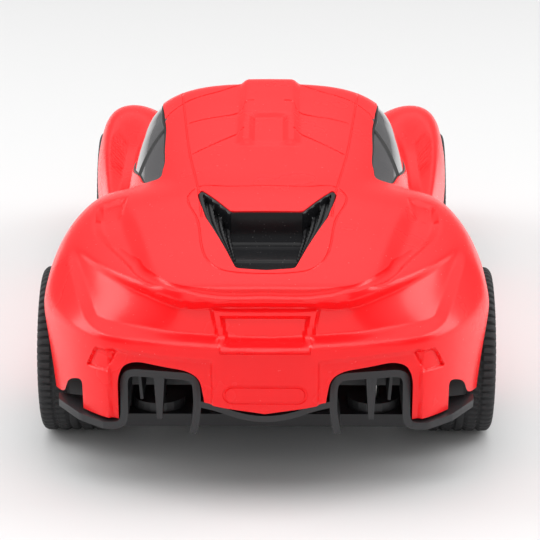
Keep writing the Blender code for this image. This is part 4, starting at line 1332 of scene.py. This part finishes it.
def shade_sky(tree):
    """Make the sky bright overhead, and dimmer low down and behind the camera."""
    sky = Network(tree)
    direction = sky.add("ShaderNodeTexCoord", output="Generated")
    upward = sky.add("ShaderNodeSeparateXYZ", {}, [direction], output="Z")
    behind = sky.add("ShaderNodeSeparateXYZ", {}, [direction], output="Y")
    height = SKY_LOW + (SKY_HIGH - SKY_LOW) * upward.step(0.25, 0.85)
    side = 1.0 - (1.0 - SKY_BEHIND) * behind.step(0.0, 0.8)
    background = tree.nodes["Background"]
    sky.feed(background.inputs["Color"], (1.0, 1.0, 1.0, 1.0))
    sky.feed(background.inputs["Strength"], height * side)


def add_camera():
    """Place the camera behind the car, looking slightly down."""
    azimuth, elevation = math.radians(CAMERA_AZIMUTH), math.radians(CAMERA_ELEVATION)
    level = math.cos(elevation)
    back = Vector((math.sin(azimuth) * level, -math.cos(azimuth) * level, math.sin(elevation)))
    camera = new_piece("camera", bpy.data.cameras.new("camera"))
    camera.data.lens = CAMERA_LENS
    camera.data.clip_start = 0.01
    camera.location = Vector(CAMERA_PLACE) * MM
    camera.rotation_euler = back.to_track_quat("Z", "Y").to_euler()
    bpy.context.scene.camera = camera


class CAR_OT_stage(bpy.types.Operator):
    """Build the floor, the soft lights and the camera"""

    bl_idname = "car.stage"
    bl_label = "Stage"

    def execute(self, context):
        shape = bmesh.new()
        bmesh.ops.create_grid(shape, x_segments=1, y_segments=1, size=3.0)
        floor = finished("studio_floor", shape)
        paper = Finish("floor_paper")
        paper.set(Base_Color=rgba(colours().floor), Roughness=0.6)
        paint(floor, paper)
        world = bpy.context.scene.world or bpy.data.worlds.new("studio")
        bpy.context.scene.world = world
        world.use_nodes = True
        shade_sky(world.node_tree)
        for light in LIGHTS:
            add_light(*light)
        bpy.context.scene.view_settings.view_transform = "Standard"
        add_camera()
        return {"FINISHED"}


# ---------------------------------------------------------------- add-on

OPERATORS = (CAR_OT_shell, CAR_OT_windows, CAR_OT_lamps, CAR_OT_vent, CAR_OT_tyres, CAR_OT_rims,
             CAR_OT_liners, CAR_OT_underside, CAR_OT_diffuser, CAR_OT_metal, CAR_OT_motor, CAR_OT_stage)


class CAR_PT_panel(bpy.types.Panel):
    """Buttons and settings of the car"""

    bl_idname = "CAR_PT_panel"
    bl_label = "Pull back car"
    bl_space_type = "VIEW_3D"
    bl_region_type = "UI"
    bl_category = "Toy car"

    def draw(self, context):
        for group in (context.scene.car_sizes, context.scene.car_colours):
            for name in group.bl_rna.properties.keys():
                if name not in {"rna_type", "name"}:
                    self.layout.prop(group, name)
        for operator in OPERATORS:
            self.layout.operator(operator.bl_idname)


CLASSES = (CarSizes, CarColours, *OPERATORS, CAR_PT_panel)


def register():
    """Add the classes and the settings."""
    for item in CLASSES:
        bpy.utils.register_class(item)
    bpy.types.Scene.car_sizes = PointerProperty(type=CarSizes)
    bpy.types.Scene.car_colours = PointerProperty(type=CarColours)


def unregister():
    """Remove the settings and the classes."""
    del bpy.types.Scene.car_colours
    del bpy.types.Scene.car_sizes
    for item in reversed(CLASSES):
        bpy.utils.unregister_class(item)


def main():
    """Build everything."""
    register()
    bpy.ops.car.shell()
    bpy.ops.car.windows()
    bpy.ops.car.lamps()
    bpy.ops.car.vent()
    bpy.ops.car.tyres()
    bpy.ops.car.rims()
    bpy.ops.car.liners()
    bpy.ops.car.underside()
    bpy.ops.car.diffuser()
    bpy.ops.car.metal()
    bpy.ops.car.motor()
    bpy.ops.car.stage()


if __name__ == "__main__":
    main()
